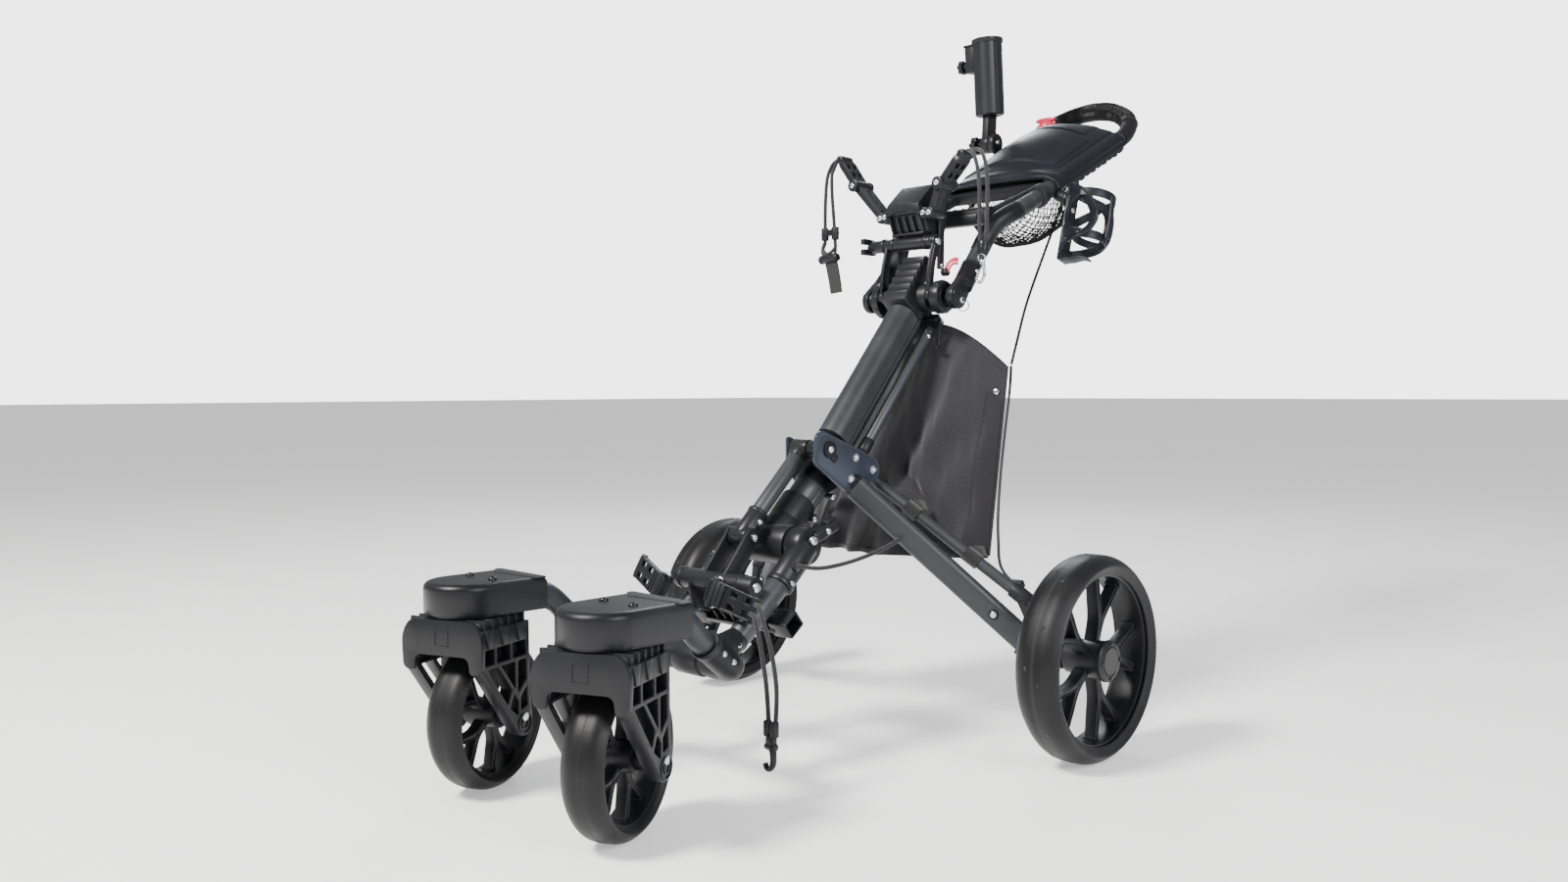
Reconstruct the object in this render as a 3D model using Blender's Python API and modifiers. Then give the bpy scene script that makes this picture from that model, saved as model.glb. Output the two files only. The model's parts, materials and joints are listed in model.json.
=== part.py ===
"""Folding four-wheel golf push cart, without a bag on it.

Metres, +Z up. The cart faces -Y and its handle is at +Y. Every shape is drawn in the
cart's own layout, measured from the floor point under the rear axle, and one empty,
cart_layout, carries the layout to the object's origin: the middle of its footprint.
Each moving piece hangs from an empty on its joint's axis.
"""

import math

import bmesh
import bpy
from mathutils import Matrix, Vector

# Driving dimensions.
AXLE_Y = 0.0607
REAR_WHEEL_RADIUS = 0.145
REAR_WHEEL_X = 0.3605
REAR_TYRE_WIDTH = 0.067
CASTER_RADIUS = 0.0985
CASTER_TYRE_WIDTH = 0.054
CASTER_X = 0.141
CASTER_Y = -0.6757
CASTER_TRAIL = 0.037
CASTER_TURN = {"left": math.radians(20.6), "right": math.radians(24.0)}
GAP = 0.0004

# Pivots in the side view, as (y, z).
LEG_PIVOT = (-0.1387, 0.4202)
KNUCKLE = (-0.264, 0.301)
STRUT_TOP = (-0.198, 0.434)
STRUT_FOOT = (
    KNUCKLE[0] + STRUT_TOP[0] - LEG_PIVOT[0],
    KNUCKLE[1] + STRUT_TOP[1] - LEG_PIVOT[1],
)
HUB = (0.0625, 0.6665)
MAIN_TUBE_FOOT = (-0.130, 0.443)
MAIN_TUBE_HEAD = (0.0405, 0.6377)
LID_HINGE = (0.5145, 0.9775)
TILT_PIVOT = (0.463, 0.988)
CUP_X = -0.134

# The handle's plane: its tubes rise to the rear at this angle through this point.
HANDLE_SLOPE = math.radians(26.0)
HANDLE_POINT = Vector((0.0, 0.2825, 0.8514))

SIDES = {"left": -1.0, "right": 1.0}

for startup_object in list(bpy.data.objects):
    bpy.data.objects.remove(startup_object, do_unlink=True)

PARTS = bpy.data.collections.new("golf_push_cart")
HELPERS = bpy.data.collections.new("golf_push_cart_cutters")
bpy.context.scene.collection.children.link(PARTS)
bpy.context.scene.collection.children.link(HELPERS)
LAYOUT = Matrix.Translation((0.0, AXLE_Y, 0.0))


# ---------------------------------------------------------------- materials


def material(name, colour, roughness, metallic=0.0):
    made = bpy.data.materials.new(name)
    made.use_nodes = True
    shader = made.node_tree.nodes["Principled BSDF"]
    shader.inputs["Base Color"].default_value = (*colour, 1.0)
    shader.inputs["Roughness"].default_value = roughness
    shader.inputs["Metallic"].default_value = metallic
    return made


TUBE_GREY = material("tube_grey", (0.060, 0.066, 0.080), 0.38, 0.6)
PLATE_GREY = material("plate_grey", (0.035, 0.042, 0.058), 0.35, 0.7)
BLACK_PLASTIC = material("black_plastic", (0.016, 0.017, 0.021), 0.45)
RUBBER = material("rubber", (0.014, 0.014, 0.016), 0.6)
FABRIC = material("fabric", (0.030, 0.029, 0.033), 0.9)
NET = material("net", (0.012, 0.012, 0.014), 0.8)
RED_PLASTIC = material("red_plastic", (0.55, 0.025, 0.075), 0.35)
STEEL = material("steel", (0.55, 0.56, 0.58), 0.3, 1.0)
CORD = material("cord", (0.02, 0.02, 0.022), 0.7)


# ---------------------------------------------------------------- placing


def pivot(name, point, parent=None):
    """An empty on a joint's axis, at a point of the cart's layout."""
    empty = bpy.data.objects.new(name, None)
    empty.empty_display_size = 0.03
    PARTS.objects.link(empty)
    empty["place"] = [*(LAYOUT @ Vector(point))]
    if parent is None:
        empty.location = empty["place"]
    else:
        empty.parent = parent
        empty.location = Vector(empty["place"]) - Vector(parent["place"])
    return empty


def hang(obj, empty):
    """Parents an object drawn in the cart's layout to an empty, keeping its place."""
    obj.parent = empty
    obj.matrix_parent_inverse = Matrix.Translation(-Vector(empty["place"])) @ LAYOUT


def object_of(name, mesh, collection=None):
    obj = bpy.data.objects.new(name, mesh)
    (collection or HELPERS).objects.link(obj)
    return obj


def from_bmesh(bm, name="piece"):
    bmesh.ops.recalc_face_normals(bm, faces=bm.faces)
    mesh = bpy.data.meshes.new(name)
    bm.to_mesh(mesh)
    bm.free()
    return object_of(name, mesh)


def node(name, pieces, empty, look, cuts=()):
    """One named sub-part: pieces joined into one body, cutters taken out of it."""
    base, *others = pieces
    HELPERS.objects.unlink(base)
    PARTS.objects.link(base)
    base.name = name
    base.data.name = name
    base.data.materials.clear()
    base.data.materials.append(look)
    hang(base, empty)
    for operation, helpers in (("UNION", others), ("DIFFERENCE", cuts)):
        for helper in helpers:
            helper.name = name + "_helper"
            helper.hide_render = True
            helper.display_type = "WIRE"
            hang(helper, CART)
            boolean = base.modifiers.new(operation.lower(), "BOOLEAN")
            boolean.operation = operation
            boolean.solver = "EXACT"
            boolean.object = helper
    return base


# ---------------------------------------------------------------- shapes


def axes_matrix(origin, along, across):
    """Local z lies along the first direction and local x near the second."""
    z_axis = Vector(along).normalized()
    x_axis = Vector(across) - Vector(across).dot(z_axis) * z_axis
    x_axis.normalize()
    y_axis = z_axis.cross(x_axis)
    rotation = Matrix((x_axis, y_axis, z_axis)).transposed()
    return Matrix.Translation(origin) @ rotation.to_4x4()


def side_view(x=0.0):
    """Carries a flat drawing (y, z) into the layout, with its thickness along X."""
    return Matrix.Translation((x, 0.0, 0.0)) @ Matrix(
        ((0, 0, 1, 0), (1, 0, 0, 0), (0, 1, 0, 0), (0, 0, 0, 1))
    )


def box(size, place, bevel=0.0):
    """A box of a size (x, y, z), its centre at the place's origin."""
    bm = bmesh.new()
    bmesh.ops.create_cube(bm, size=1.0)
    bmesh.ops.scale(bm, vec=size, verts=bm.verts)
    if bevel:
        bmesh.ops.bevel(
            bm, geom=bm.edges[:], offset=bevel, segments=1, affect="EDGES", clamp_overlap=True
        )
    bmesh.ops.transform(bm, matrix=place, verts=bm.verts)
    return from_bmesh(bm)


def block(centre, size, tilt=0.0, bevel=0.0):
    """A box turned about X by a tilt."""
    place = Matrix.Translation(centre) @ Matrix.Rotation(tilt, 4, "X")
    return box(size, place, bevel)


def rod(start, end, radius, end_radius=None, sides=20):
    """A straight round bar from one point to another."""
    start, end = Vector(start), Vector(end)
    along = end - start
    across = (1, 0, 0) if abs(along.x) < 0.9 * along.length else (0, 1, 0)
    bm = bmesh.new()
    bmesh.ops.create_cone(
        bm, cap_ends=True, segments=sides, radius1=radius,
        radius2=radius if end_radius is None else end_radius, depth=along.length,
    )
    place = axes_matrix((start + end) / 2, along, across)
    bmesh.ops.transform(bm, matrix=place, verts=bm.verts)
    return from_bmesh(bm)


def cross_rod(x0, x1, point, radius, sides=20):
    """A round bar along X at a (y, z) of the side view."""
    return rod((x0, *point), (x1, *point), radius, sides=sides)


def flat(outline, thickness, place):
    """A flat outline, extruded evenly about its own plane."""
    curve = bpy.data.curves.new("outline", "CURVE")
    curve.dimensions = "2D"
    curve.fill_mode = "BOTH"
    curve.extrude = thickness / 2
    spline = curve.splines.new("POLY")
    spline.points.add(len(outline) - 1)
    for point, (u, v) in zip(spline.points, outline):
        point.co = (u, v, 0.0, 1.0)
    spline.use_cyclic_u = True
    return as_mesh(object_of("outline", curve), place)


def as_mesh(curve_object, place=None):
    """A curve object made a mesh object, with its caps welded."""
    graph = bpy.context.evaluated_depsgraph_get()
    mesh = bpy.data.meshes.new_from_object(curve_object.evaluated_get(graph))
    bm = bmesh.new()
    bm.from_mesh(mesh)
    bmesh.ops.remove_doubles(bm, verts=bm.verts, dist=1e-6)
    if place is not None:
        bmesh.ops.transform(bm, matrix=place, verts=bm.verts)
    bpy.data.objects.remove(curve_object, do_unlink=True)
    return from_bmesh(bm)


def smooth_route(points, steps):
    """Points on a smooth curve through the given ones (Catmull-Rom)."""
    ends = [2 * Vector(points[0]) - Vector(points[1]), *map(Vector, points)]
    ends.append(2 * ends[-1] - ends[-2])
    route = []
    for a, b, c, d in zip(ends, ends[1:], ends[2:], ends[3:]):
        for step in range(steps):
            t = step / steps
            route.append(
                0.5 * (2 * b + (c - a) * t + (2 * a - 5 * b + 4 * c - d) * t**2
                       + (3 * b - a - 3 * c + d) * t**3)
            )
    route.append(Vector(points[-1]))
    return route


def tube(points, radius, steps=3, roundness=2):
    """A round tube bent through the given points."""
    curve = bpy.data.curves.new("tube", "CURVE")
    curve.dimensions = "3D"
    curve.bevel_depth = radius
    curve.bevel_resolution = roundness
    curve.use_fill_caps = True
    route = smooth_route(points, steps) if steps > 1 else [Vector(p) for p in points]
    spline = curve.splines.new("POLY")
    spline.points.add(len(route) - 1)
    for point, place in zip(spline.points, route):
        point.co = (*place, 1.0)
    return as_mesh(object_of("tube", curve))


def turned(profile, place, steps=40, closed=True):
    """A profile of (radius, height) pairs turned about the place's z axis."""
    mesh = bpy.data.meshes.new("profile")
    edges = [(i, i + 1) for i in range(len(profile) - 1)]
    if closed:
        edges.append((len(profile) - 1, 0))
    mesh.from_pydata([(r, 0.0, h) for r, h in profile], edges, [])
    helper = object_of("turned", mesh)
    screw = helper.modifiers.new("screw", "SCREW")
    screw.steps = steps
    screw.render_steps = steps
    screw.use_merge_vertices = True
    screw.merge_threshold = 0.00001
    graph = bpy.context.evaluated_depsgraph_get()
    solid = bpy.data.meshes.new_from_object(helper.evaluated_get(graph))
    bpy.data.objects.remove(helper, do_unlink=True)
    bm = bmesh.new()
    bm.from_mesh(solid)
    bmesh.ops.remove_doubles(bm, verts=bm.verts, dist=1e-6)
    bmesh.ops.transform(bm, matrix=place, verts=bm.verts)
    return from_bmesh(bm)


def arc(centre, radius, start, end, count):
    """Points on an arc, its angles in degrees."""
    angles = [math.radians(start + (end - start) * i / (count - 1)) for i in range(count)]
    return [(centre[0] + radius * math.cos(a), centre[1] + radius * math.sin(a)) for a in angles]


def oval(width, depth, count=6):
    """A stadium outline, width along u and depth along v."""
    radius = min(width, depth) / 2
    if depth >= width:
        reach = depth / 2 - radius
        return arc((0, reach), radius, 0, 180, count) + arc((0, -reach), radius, 180, 360, count)
    reach = width / 2 - radius
    return arc((reach, 0), radius, -90, 90, count) + arc((-reach, 0), radius, 90, 270, count)


def bar(start, end, outline, across=(1, 0, 0)):
    """An outline drawn out into a straight bar, its u axis near the across direction."""
    start, end = Vector(start), Vector(end)
    place = axes_matrix((start + end) / 2, end - start, across)
    return flat(outline, (end - start).length, place)


def skin(columns, rows, surface, thickness):
    """A sheet over surface(u, v), u and v from 0 to 1, given a thickness."""
    bm = bmesh.new()
    grid = [
        [bm.verts.new(surface(i / (columns - 1), j / (rows - 1))) for i in range(columns)]
        for j in range(rows)
    ]
    for below, above in zip(grid, grid[1:]):
        for i in range(columns - 1):
            bm.faces.new((below[i], below[i + 1], above[i + 1], above[i]))
    sheet = from_bmesh(bm)
    solidify = sheet.modifiers.new("thickness", "SOLIDIFY")
    solidify.thickness = thickness
    solidify.offset = 0.0
    return sheet


def on_handle(x, along, above=0.0):
    """A point by its distance up the handle's slope and above the handle's plane."""
    up_slope = Vector((0.0, math.cos(HANDLE_SLOPE), math.sin(HANDLE_SLOPE)))
    normal = Vector((0.0, -math.sin(HANDLE_SLOPE), math.cos(HANDLE_SLOPE)))
    return HANDLE_POINT + Vector((x, 0.0, 0.0)) + along * up_slope + above * normal


# ---------------------------------------------------------------- joint axes

CART = pivot("cart_layout", (0.0, 0.0, 0.0))
LEGS = pivot("leg_fold_axis", (0.0, *LEG_PIVOT), CART)
STRUT = pivot("strut_fold_axis", (0.0, *STRUT_TOP), LEGS)
FRONT = pivot("front_fold_axis", (0.0, *KNUCKLE), CART)
HANDLE = pivot("handle_fold_axis", (0.0, *HUB), CART)
LID = pivot("lid_axis", (0.0, *LID_HINGE), HANDLE)
TILT = pivot("umbrella_tilt_axis", (CUP_X, *TILT_PIVOT), HANDLE)
BRAKE_PLACE = on_handle(-0.058, 0.3133, 0.0437)
BRAKE = pivot("brake_lever_axis", BRAKE_PLACE, HANDLE)


# ---------------------------------------------------------------- main frame


def main_tube():
    """The upright tube, with the rail for the folding gear up its back."""
    start, end = (0.0, *MAIN_TUBE_FOOT), (0.0, *MAIN_TUBE_HEAD)
    front = arc((0, -0.0055), 0.0235, 180, 360, 9)
    back = [(0.0235, 0.012), (0.013, 0.030), (-0.013, 0.030), (-0.0235, 0.012)]
    node("main_tube", [bar(start, end, front + back)], CART, TUBE_GREY)


def lower_direction():
    return (Vector((0.0, *LEG_PIVOT)) - Vector((0.0, *KNUCKLE))).normalized()


def centre_tube():
    """The lower tube, from the knuckle casting up between the side plates."""
    knuckle, up = Vector((0.0, *KNUCKLE)), lower_direction()
    start = knuckle + 0.0775 * up
    end = Vector((0.0, *LEG_PIVOT)) + 0.010 * up
    node("centre_tube", [rod(start, end, 0.0225, sides=24)], CART, TUBE_GREY)
    collar_place = axes_matrix(knuckle + 0.128 * up, up, (1, 0, 0))
    ring = turned(
        [(0.0247, 0.016), (0.0254, 0.012), (0.0254, -0.016), (0.0229, -0.016), (0.0229, 0.016)],
        collar_place, steps=28,
    )
    below = up.cross(Vector((1, 0, 0)))
    if below.z > 0:
        below = -below
    catch = block(
        knuckle + 0.128 * up + 0.0343 * below, (0.016, 0.034, 0.0196), math.radians(43.6), 0.002
    )
    node("latch_collar", [ring, catch], CART, BLACK_PLASTIC)
    barrel = cross_rod(-0.046, 0.046, KNUCKLE, 0.029, sides=28)
    neck = rod(knuckle, knuckle + 0.077 * up, 0.0262, sides=24)
    node("knuckle_casting", [barrel, neck], CART, BLACK_PLASTIC)


def hub():
    """The folding hub on top of the main tube, with its rear bracket and its steps."""
    axis = Vector((0.0, *HUB))
    head = Vector((0.0, *MAIN_TUBE_HEAD))
    up = (head - Vector((0.0, *MAIN_TUBE_FOOT))).normalized()
    barrel = cross_rod(-0.0405, 0.0405, HUB, 0.0235, sides=24)
    cap = bar(head + GAP * up, head + 0.034 * up, oval(0.050, 0.058, 7))
    bracket = bar(axis, (0.0, 0.092, 0.628), oval(0.030, 0.024, 5))
    crossbar = block((0.0, 0.0865, 0.6305), (0.074, 0.022, 0.014), math.radians(-41), 0.002)
    pieces = [barrel, cap, bracket, crossbar]
    rack = [(0.0360, 0.6500), (0.0140, 0.6680)]
    for step in range(6):
        foot = Vector((0.0140 + 0.0088 * step, 0.6680 + 0.0112 * step))
        rack += [(foot.x + 0.0022, foot.y + 0.0112), (foot.x + 0.0088, foot.y + 0.0062)]
    rack += [(0.0700, 0.7330), (0.0900, 0.7180)]
    pieces.append(flat(rack, 0.0420, side_view()))
    pieces.append(block((0.0400, 0.0770, 0.6110), (0.0050, 0.0050, 0.0440), 0.0))
    pieces.append(block((0.0280, 0.0800, 0.6300), (0.0280, 0.0060, 0.0060), 0.0))
    pieces.append(block((0.0400, 0.0720, 0.5910), (0.0050, 0.0140, 0.0050), 0.0))
    node("hub_body", pieces, CART, BLACK_PLASTIC)


def guide_rods():
    """Two thin bars behind the main tube, joined by the bar that the hub holds."""
    low, high = (-0.094, 0.4265), (0.0705, 0.6145)
    bars = [rod((x, *low), (x, *high), 0.0085, sides=14) for x in (-0.027, 0.027)]
    joint = cross_rod(-0.027, 0.027, (high[0] - 0.004, high[1] - 0.0045), 0.0065, sides=12)
    node("guide_rods", [joint, *bars], CART, TUBE_GREY)


# ---------------------------------------------------------------- rear legs

LEG_TOP = Vector((0.0381, -0.1470, 0.3890))
LEG_FOOT = Vector((0.2790, -0.0152, 0.1494))
REAR_STRUT_TOP = Vector((0.0365, -0.0970, 0.4030))
REAR_STRUT_BENDS = [(0.0395, -0.0890, 0.3900), (0.0470, -0.0850, 0.3790)]
REAR_STRUT_FOOT = Vector((0.2620, -0.0230, 0.2260))
PLATE_OUTLINE = [
    (-0.2180, 0.4520), (-0.2130, 0.4260), (-0.1485, 0.3690), (-0.0920, 0.3850),
    (-0.0830, 0.3960), (-0.0880, 0.4130), (-0.1750, 0.4480), (-0.2060, 0.4620),
]
SHORT_PLATE_OUTLINE = [
    (-0.1800, 0.4480), (-0.1800, 0.3990), (-0.1485, 0.3690), (-0.0920, 0.3850),
    (-0.0830, 0.3960), (-0.0880, 0.4130), (-0.1750, 0.4500),
]
PLATE_X = 0.0510
PLATE_BOLTS = [(-0.1387, 0.4202), (-0.1500, 0.3890), (-0.1000, 0.4000)]


def mirrored(point, side):
    return Vector((point[0] * side, point[1], point[2]))


def side_plates():
    for name, side in SIDES.items():
        outline = PLATE_OUTLINE if name == "right" else SHORT_PLATE_OUTLINE
        pieces = [flat(outline, 0.0030, side_view(side * PLATE_X))]
        for bolt in PLATE_BOLTS:
            pieces.append(
                cross_rod(side * (PLATE_X + 0.001), side * (PLATE_X + 0.0055), bolt, 0.0062, 10)
            )
        if name == "right":
            inner = PLATE_X - 0.0165
            pieces.append(cross_rod(PLATE_X, inner, STRUT_TOP, 0.0060, 12))
            pieces.append(cross_rod(inner + 0.003, 0.0165, STRUT_TOP, 0.0125, 14))
        node(f"side_plate_{name}", pieces, LEGS, PLATE_GREY)


def plate_cutter(side):
    """The longer side plate's outline outboard of its inner face, to cut the legs' tops with."""
    middle = (-0.150, 0.410)
    wider = [tuple(m + 1.012 * (c - m) for c, m in zip(p, middle)) for p in PLATE_OUTLINE]
    return flat(wider, 0.06, side_view(side * (PLATE_X - 0.0015 - GAP + 0.03)))


def rear_legs():
    for name, side in SIDES.items():
        top, foot = mirrored(LEG_TOP, side), mirrored(LEG_FOOT, side)
        facing = (foot - top).cross(Vector((0, 0, 1))) * side
        leg = bar(top, foot, oval(0.021, 0.037, 5), facing)
        node(f"rear_leg_{name}", [leg], LEGS, TUBE_GREY, [plate_cutter(side)])


def rear_struts():
    """The thin brace above each leg, with the casting at its foot that holds the axle."""
    for name, side in SIDES.items():
        top, foot = mirrored(REAR_STRUT_TOP, side), mirrored(REAR_STRUT_FOOT, side)
        bends = [mirrored(point, side) for point in REAR_STRUT_BENDS]
        brace = tube([top, *bends, foot], 0.0088, 1)
        leg_end = mirrored(LEG_FOOT, side)
        along = (leg_end - mirrored(LEG_TOP, side)).normalized()
        strut_along = (foot - bends[-1]).normalized()
        facing = along.cross(Vector((0, 0, 1))) * side
        start = leg_end - 0.012 * along
        shoe = bar(start, leg_end + 0.020 * along, oval(0.028, 0.044, 5), facing)
        leg_room = bar(
            mirrored(LEG_TOP, side), leg_end + GAP * along, oval(0.0218, 0.0378, 5), facing
        )
        arm = rod(foot - 0.012 * strut_along, foot + 0.020 * strut_along, 0.0115, sides=14)
        web = bar(
            foot + 0.012 * strut_along, (side * 0.296, -0.004, 0.150), oval(0.018, 0.030, 4)
        )
        boss = cross_rod(side * 0.278, side * 0.3225, (0.0, REAR_WHEEL_RADIUS), 0.021, 20)
        axle = cross_rod(side * 0.300, side * 0.388, (0.0, REAR_WHEEL_RADIUS), 0.0060, 14)
        pieces = [boss, shoe, arm, web, axle, brace]
        node(f"rear_strut_{name}", pieces, LEGS, TUBE_GREY, [plate_cutter(side), leg_room])


# ---------------------------------------------------------------- wheels


def wheel_place(x, y, z, turn=0.0):
    """A wheel's frame: local z along its axle."""
    return (
        Matrix.Translation((x, y, z))
        @ Matrix.Rotation(turn, 4, "Z")
        @ Matrix.Rotation(math.radians(90), 4, "Y")
    )


def tyre(radius, inner, width, place, steps):
    half = width / 2
    crown = 0.30 * half
    profile = [
        (inner, half * 0.86), (inner + 0.30 * (radius - inner), half),
        (radius - 0.30 * (radius - inner), half * 0.92), (radius, crown),
        (radius, -crown), (radius - 0.30 * (radius - inner), -half * 0.92),
        (inner + 0.30 * (radius - inner), -half), (inner, -half * 0.86),
    ]
    return turned(profile, place, steps)


def wheel_rim(outer, width, hub_radius, hub_width, spokes, place, steps):
    """A barrel, a hub and straight spokes between them."""
    half = width / 2
    barrel = turned(
        [(outer, half), (outer, -half), (outer - 0.0045, -half), (outer - 0.0045, half)],
        place, steps,
    )
    centre = turned(
        [(0.0, hub_width / 2), (hub_radius, hub_width / 2), (hub_radius, -hub_width / 2),
         (0.0, -hub_width / 2)],
        place, 20, closed=False,
    )
    pieces = [barrel, centre]
    for spoke in range(spokes):
        turn = Matrix.Rotation(math.tau * spoke / spokes, 4, "Z")
        middle = Matrix.Translation(((outer + hub_radius) / 2 - 0.002, 0.0, 0.0))
        size = (outer - hub_radius, 0.015, 0.016)
        pieces.append(box(size, place @ turn @ middle))
    return pieces


def rear_wheels():
    for name, side in SIDES.items():
        centre = (side * REAR_WHEEL_X, 0.0, REAR_WHEEL_RADIUS)
        axis = pivot(f"rear_wheel_axis_{name}", centre, LEGS)
        place = wheel_place(*centre)
        node(
            f"rear_tyre_{name}",
            [tyre(REAR_WHEEL_RADIUS, 0.1195, REAR_TYRE_WIDTH, place, 44)], axis, RUBBER,
        )
        pieces = wheel_rim(0.1190, 0.052, 0.0250, 0.058, 5, place, 44)
        outside = side * (REAR_WHEEL_X + 0.028)
        pieces.append(cross_rod(outside, outside + side * 0.0065, centre[1:], 0.0292, 24))
        bore = cross_rod(
            side * (REAR_WHEEL_X - 0.04), side * 0.3885, centre[1:], 0.0063, sides=16
        )
        node(f"rear_rim_{name}", pieces, axis, BLACK_PLASTIC, [bore])


def casters():
    for name, side in SIDES.items():
        turn = CASTER_TURN[name]
        swivel = Vector((side * CASTER_X, CASTER_Y, 0.0))
        local = Matrix.Translation(swivel) @ Matrix.Rotation(turn, 4, "Z")
        axis = pivot(f"caster_swivel_axis_{name}", (*swivel.xy, 0.236), FRONT)
        wheel_centre = local @ Vector((0.0, CASTER_TRAIL, CASTER_RADIUS))
        crown_front = flat(
            [(-0.0435, 0.170), (-0.0435, 0.196), (0.0435, 0.196), (0.0435, 0.170), (0.0600, 0.176),
             (0.0620, 0.222), (0.0500, 0.2355), (-0.0500, 0.2355), (-0.0620, 0.222),
             (-0.0600, 0.176)],
            0.006,
            local @ Matrix.Translation((0.0, -0.0496, 0.0)) @ Matrix.Rotation(
                math.radians(90), 4, "X"),
        )
        crown = box((0.1170, 0.096, 0.032), local @ Matrix.Translation((0, -0.002, 0.2190)), 0.003)
        stem = rod(local @ Vector((0, 0, 0.234)), local @ Vector((0, 0, 0.2372)), 0.022, sides=20)
        pieces = [crown, crown_front, stem]
        arm_outline = [
            (-0.0520, 0.2200), (-0.0520, 0.1800), (0.0220, 0.0830),
            *arc((CASTER_TRAIL, 0.0900), 0.0160, 215, 360, 5), (0.0480, 0.2200),
        ]
        window = [(-0.0400, 0.1820), (0.0210, 0.1120), (0.0400, 0.1120), (0.0380, 0.1900),
                  (-0.0380, 0.1950)]
        cuts = []
        for arm in (-1.0, 1.0):
            place = local @ side_view(arm * 0.0500)
            pieces.append(flat(arm_outline, 0.0200, place))
            cuts.append(flat(window, 0.0300, place))
        clearance = rod(
            local @ Vector((-0.0405, CASTER_TRAIL, CASTER_RADIUS)),
            local @ Vector((0.0405, CASTER_TRAIL, CASTER_RADIUS)), 0.1035, sides=32,
        )
        node(f"caster_fork_{name}", pieces, axis, BLACK_PLASTIC, [*cuts, clearance])
        wheel_axis = pivot(f"caster_wheel_axis_{name}", wheel_centre, axis)
        place = wheel_place(*wheel_centre, turn)
        node(
            f"caster_tyre_{name}",
            [tyre(CASTER_RADIUS, 0.0795, CASTER_TYRE_WIDTH, place, 36)], wheel_axis, RUBBER,
        )
        node(
            f"caster_rim_{name}", wheel_rim(0.0790, 0.044, 0.0190, 0.0780, 5, place, 36),
            wheel_axis, BLACK_PLASTIC,
        )


# ---------------------------------------------------------------- front frame

FRONT_LEG_X = 0.0660
BEAM = (-0.4720, 0.1760)
LOWER_BAR = (-0.3710, 0.2560)
LEG_BEND = (-0.3980, 0.1880)


def front_legs():
    for name, side in SIDES.items():
        x = side * FRONT_LEG_X
        barrel = cross_rod(side * (0.046 + GAP), x, KNUCKLE, 0.0275, 24)
        sleeve_end = Vector((x, -0.3170, 0.2520))
        sleeve = rod((x, *KNUCKLE), sleeve_end, 0.0190, sides=18)
        leg = rod((x, -0.3050, 0.2625), (x, *LEG_BEND), 0.0165, sides=16)
        foot = rod((x, *LEG_BEND), (x, -0.4480, 0.1800), 0.0165, 0.0150, sides=16)
        catch = block((x + side * 0.004, -0.2330, 0.3200), (0.026, 0.050, 0.014),
                      math.radians(20), 0.003)
        node(f"front_leg_{name}", [barrel, sleeve, leg, foot, catch], FRONT, BLACK_PLASTIC)


def front_crossbeam():
    """The bar across the front, with an elbow at each end that holds a caster arm."""
    pieces = [cross_rod(-0.131, 0.131, BEAM, 0.0185, 20)]
    for side in SIDES.values():
        pieces.append(
            tube(
                [(side * 0.131, *BEAM), (side * 0.133, -0.4880, 0.1885),
                 (side * 0.134, -0.5130, 0.2080)],
                0.0190, 3,
            )
        )
        saddle = side * FRONT_LEG_X
        pieces.append(rod((saddle, -0.4730, 0.176), (saddle, -0.4490, 0.1798), 0.0215, sides=18))
    node("front_crossbeam", pieces, FRONT, BLACK_PLASTIC)


def caster_arms():
    for name, side in SIDES.items():
        route = [
            (side * 0.1342, -0.5136, 0.2085), (side * 0.1355, -0.5290, 0.2210),
            (side * 0.1385, -0.5480, 0.2400), (side * 0.1405, -0.5650, 0.2495),
            (side * 0.1410, -0.5890, 0.2520),
        ]
        node(f"caster_arm_{name}", [tube(route, 0.0155, 3)], FRONT, TUBE_GREY)


def caster_housings():
    half = 0.0545
    for name, side in SIDES.items():
        outline = [
            *arc((0.0, CASTER_Y), half, 180, 360, 13), (half, -0.590), (-half, -0.590),
        ]
        place = Matrix.Translation((side * 0.1425, 0.0, 0.2585))
        body = flat(outline, 0.0410, place)
        node(f"caster_housing_{name}", [body], FRONT, BLACK_PLASTIC)


def lower_cradle():
    """The bar that carries the bag's lower pads, its brackets and the strut's ears."""
    pieces = [cross_rod(-0.0770, 0.0770, LOWER_BAR, 0.0145, 16)]
    for side in SIDES.values():
        pieces.append(
            flat(
                [(-0.3860, 0.2560), (-0.3710, 0.2710), (-0.3440, 0.2480), (-0.3240, 0.2240),
                 (-0.3280, 0.2050), (-0.3680, 0.2120), (-0.3860, 0.2400)],
                0.0050, side_view(side * 0.0410),
            )
        )
        x = side * 0.0200
        ear = [
            *arc(STRUT_FOOT, 0.0130, -40, 140, 7), (-0.3840, 0.2620), (-0.3650, 0.2440),
        ]
        pieces.append(flat(ear, 0.0050, side_view(x)))
        pieces.append(cross_rod(x, side * 0.0265, STRUT_FOOT, 0.0060, 10))
    pieces.append(block((0.0, -0.3290, 0.2120), (0.092, 0.012, 0.036), math.radians(38), 0.002))
    pieces.append(block((0.0, -0.3180, 0.1990), (0.140, 0.030, 0.008), math.radians(38), 0.002))
    for side in SIDES.values():
        pieces.append(
            block((side * 0.0800, -0.3180, 0.2010), (0.030, 0.032, 0.024), math.radians(38))
        )
    node("lower_cradle_bar", pieces, FRONT, BLACK_PLASTIC)


# Hinge point of each lower pad, and its plate's centre from there.
LOWER_PADS = {
    "left": (Vector((-0.0720, -0.4010, 0.2430)), Vector((-0.0380, -0.0080, -0.0020))),
    "right": (Vector((0.0350, -0.4000, 0.2420)), Vector((0.0260, -0.0130, 0.0060))),
}


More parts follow.
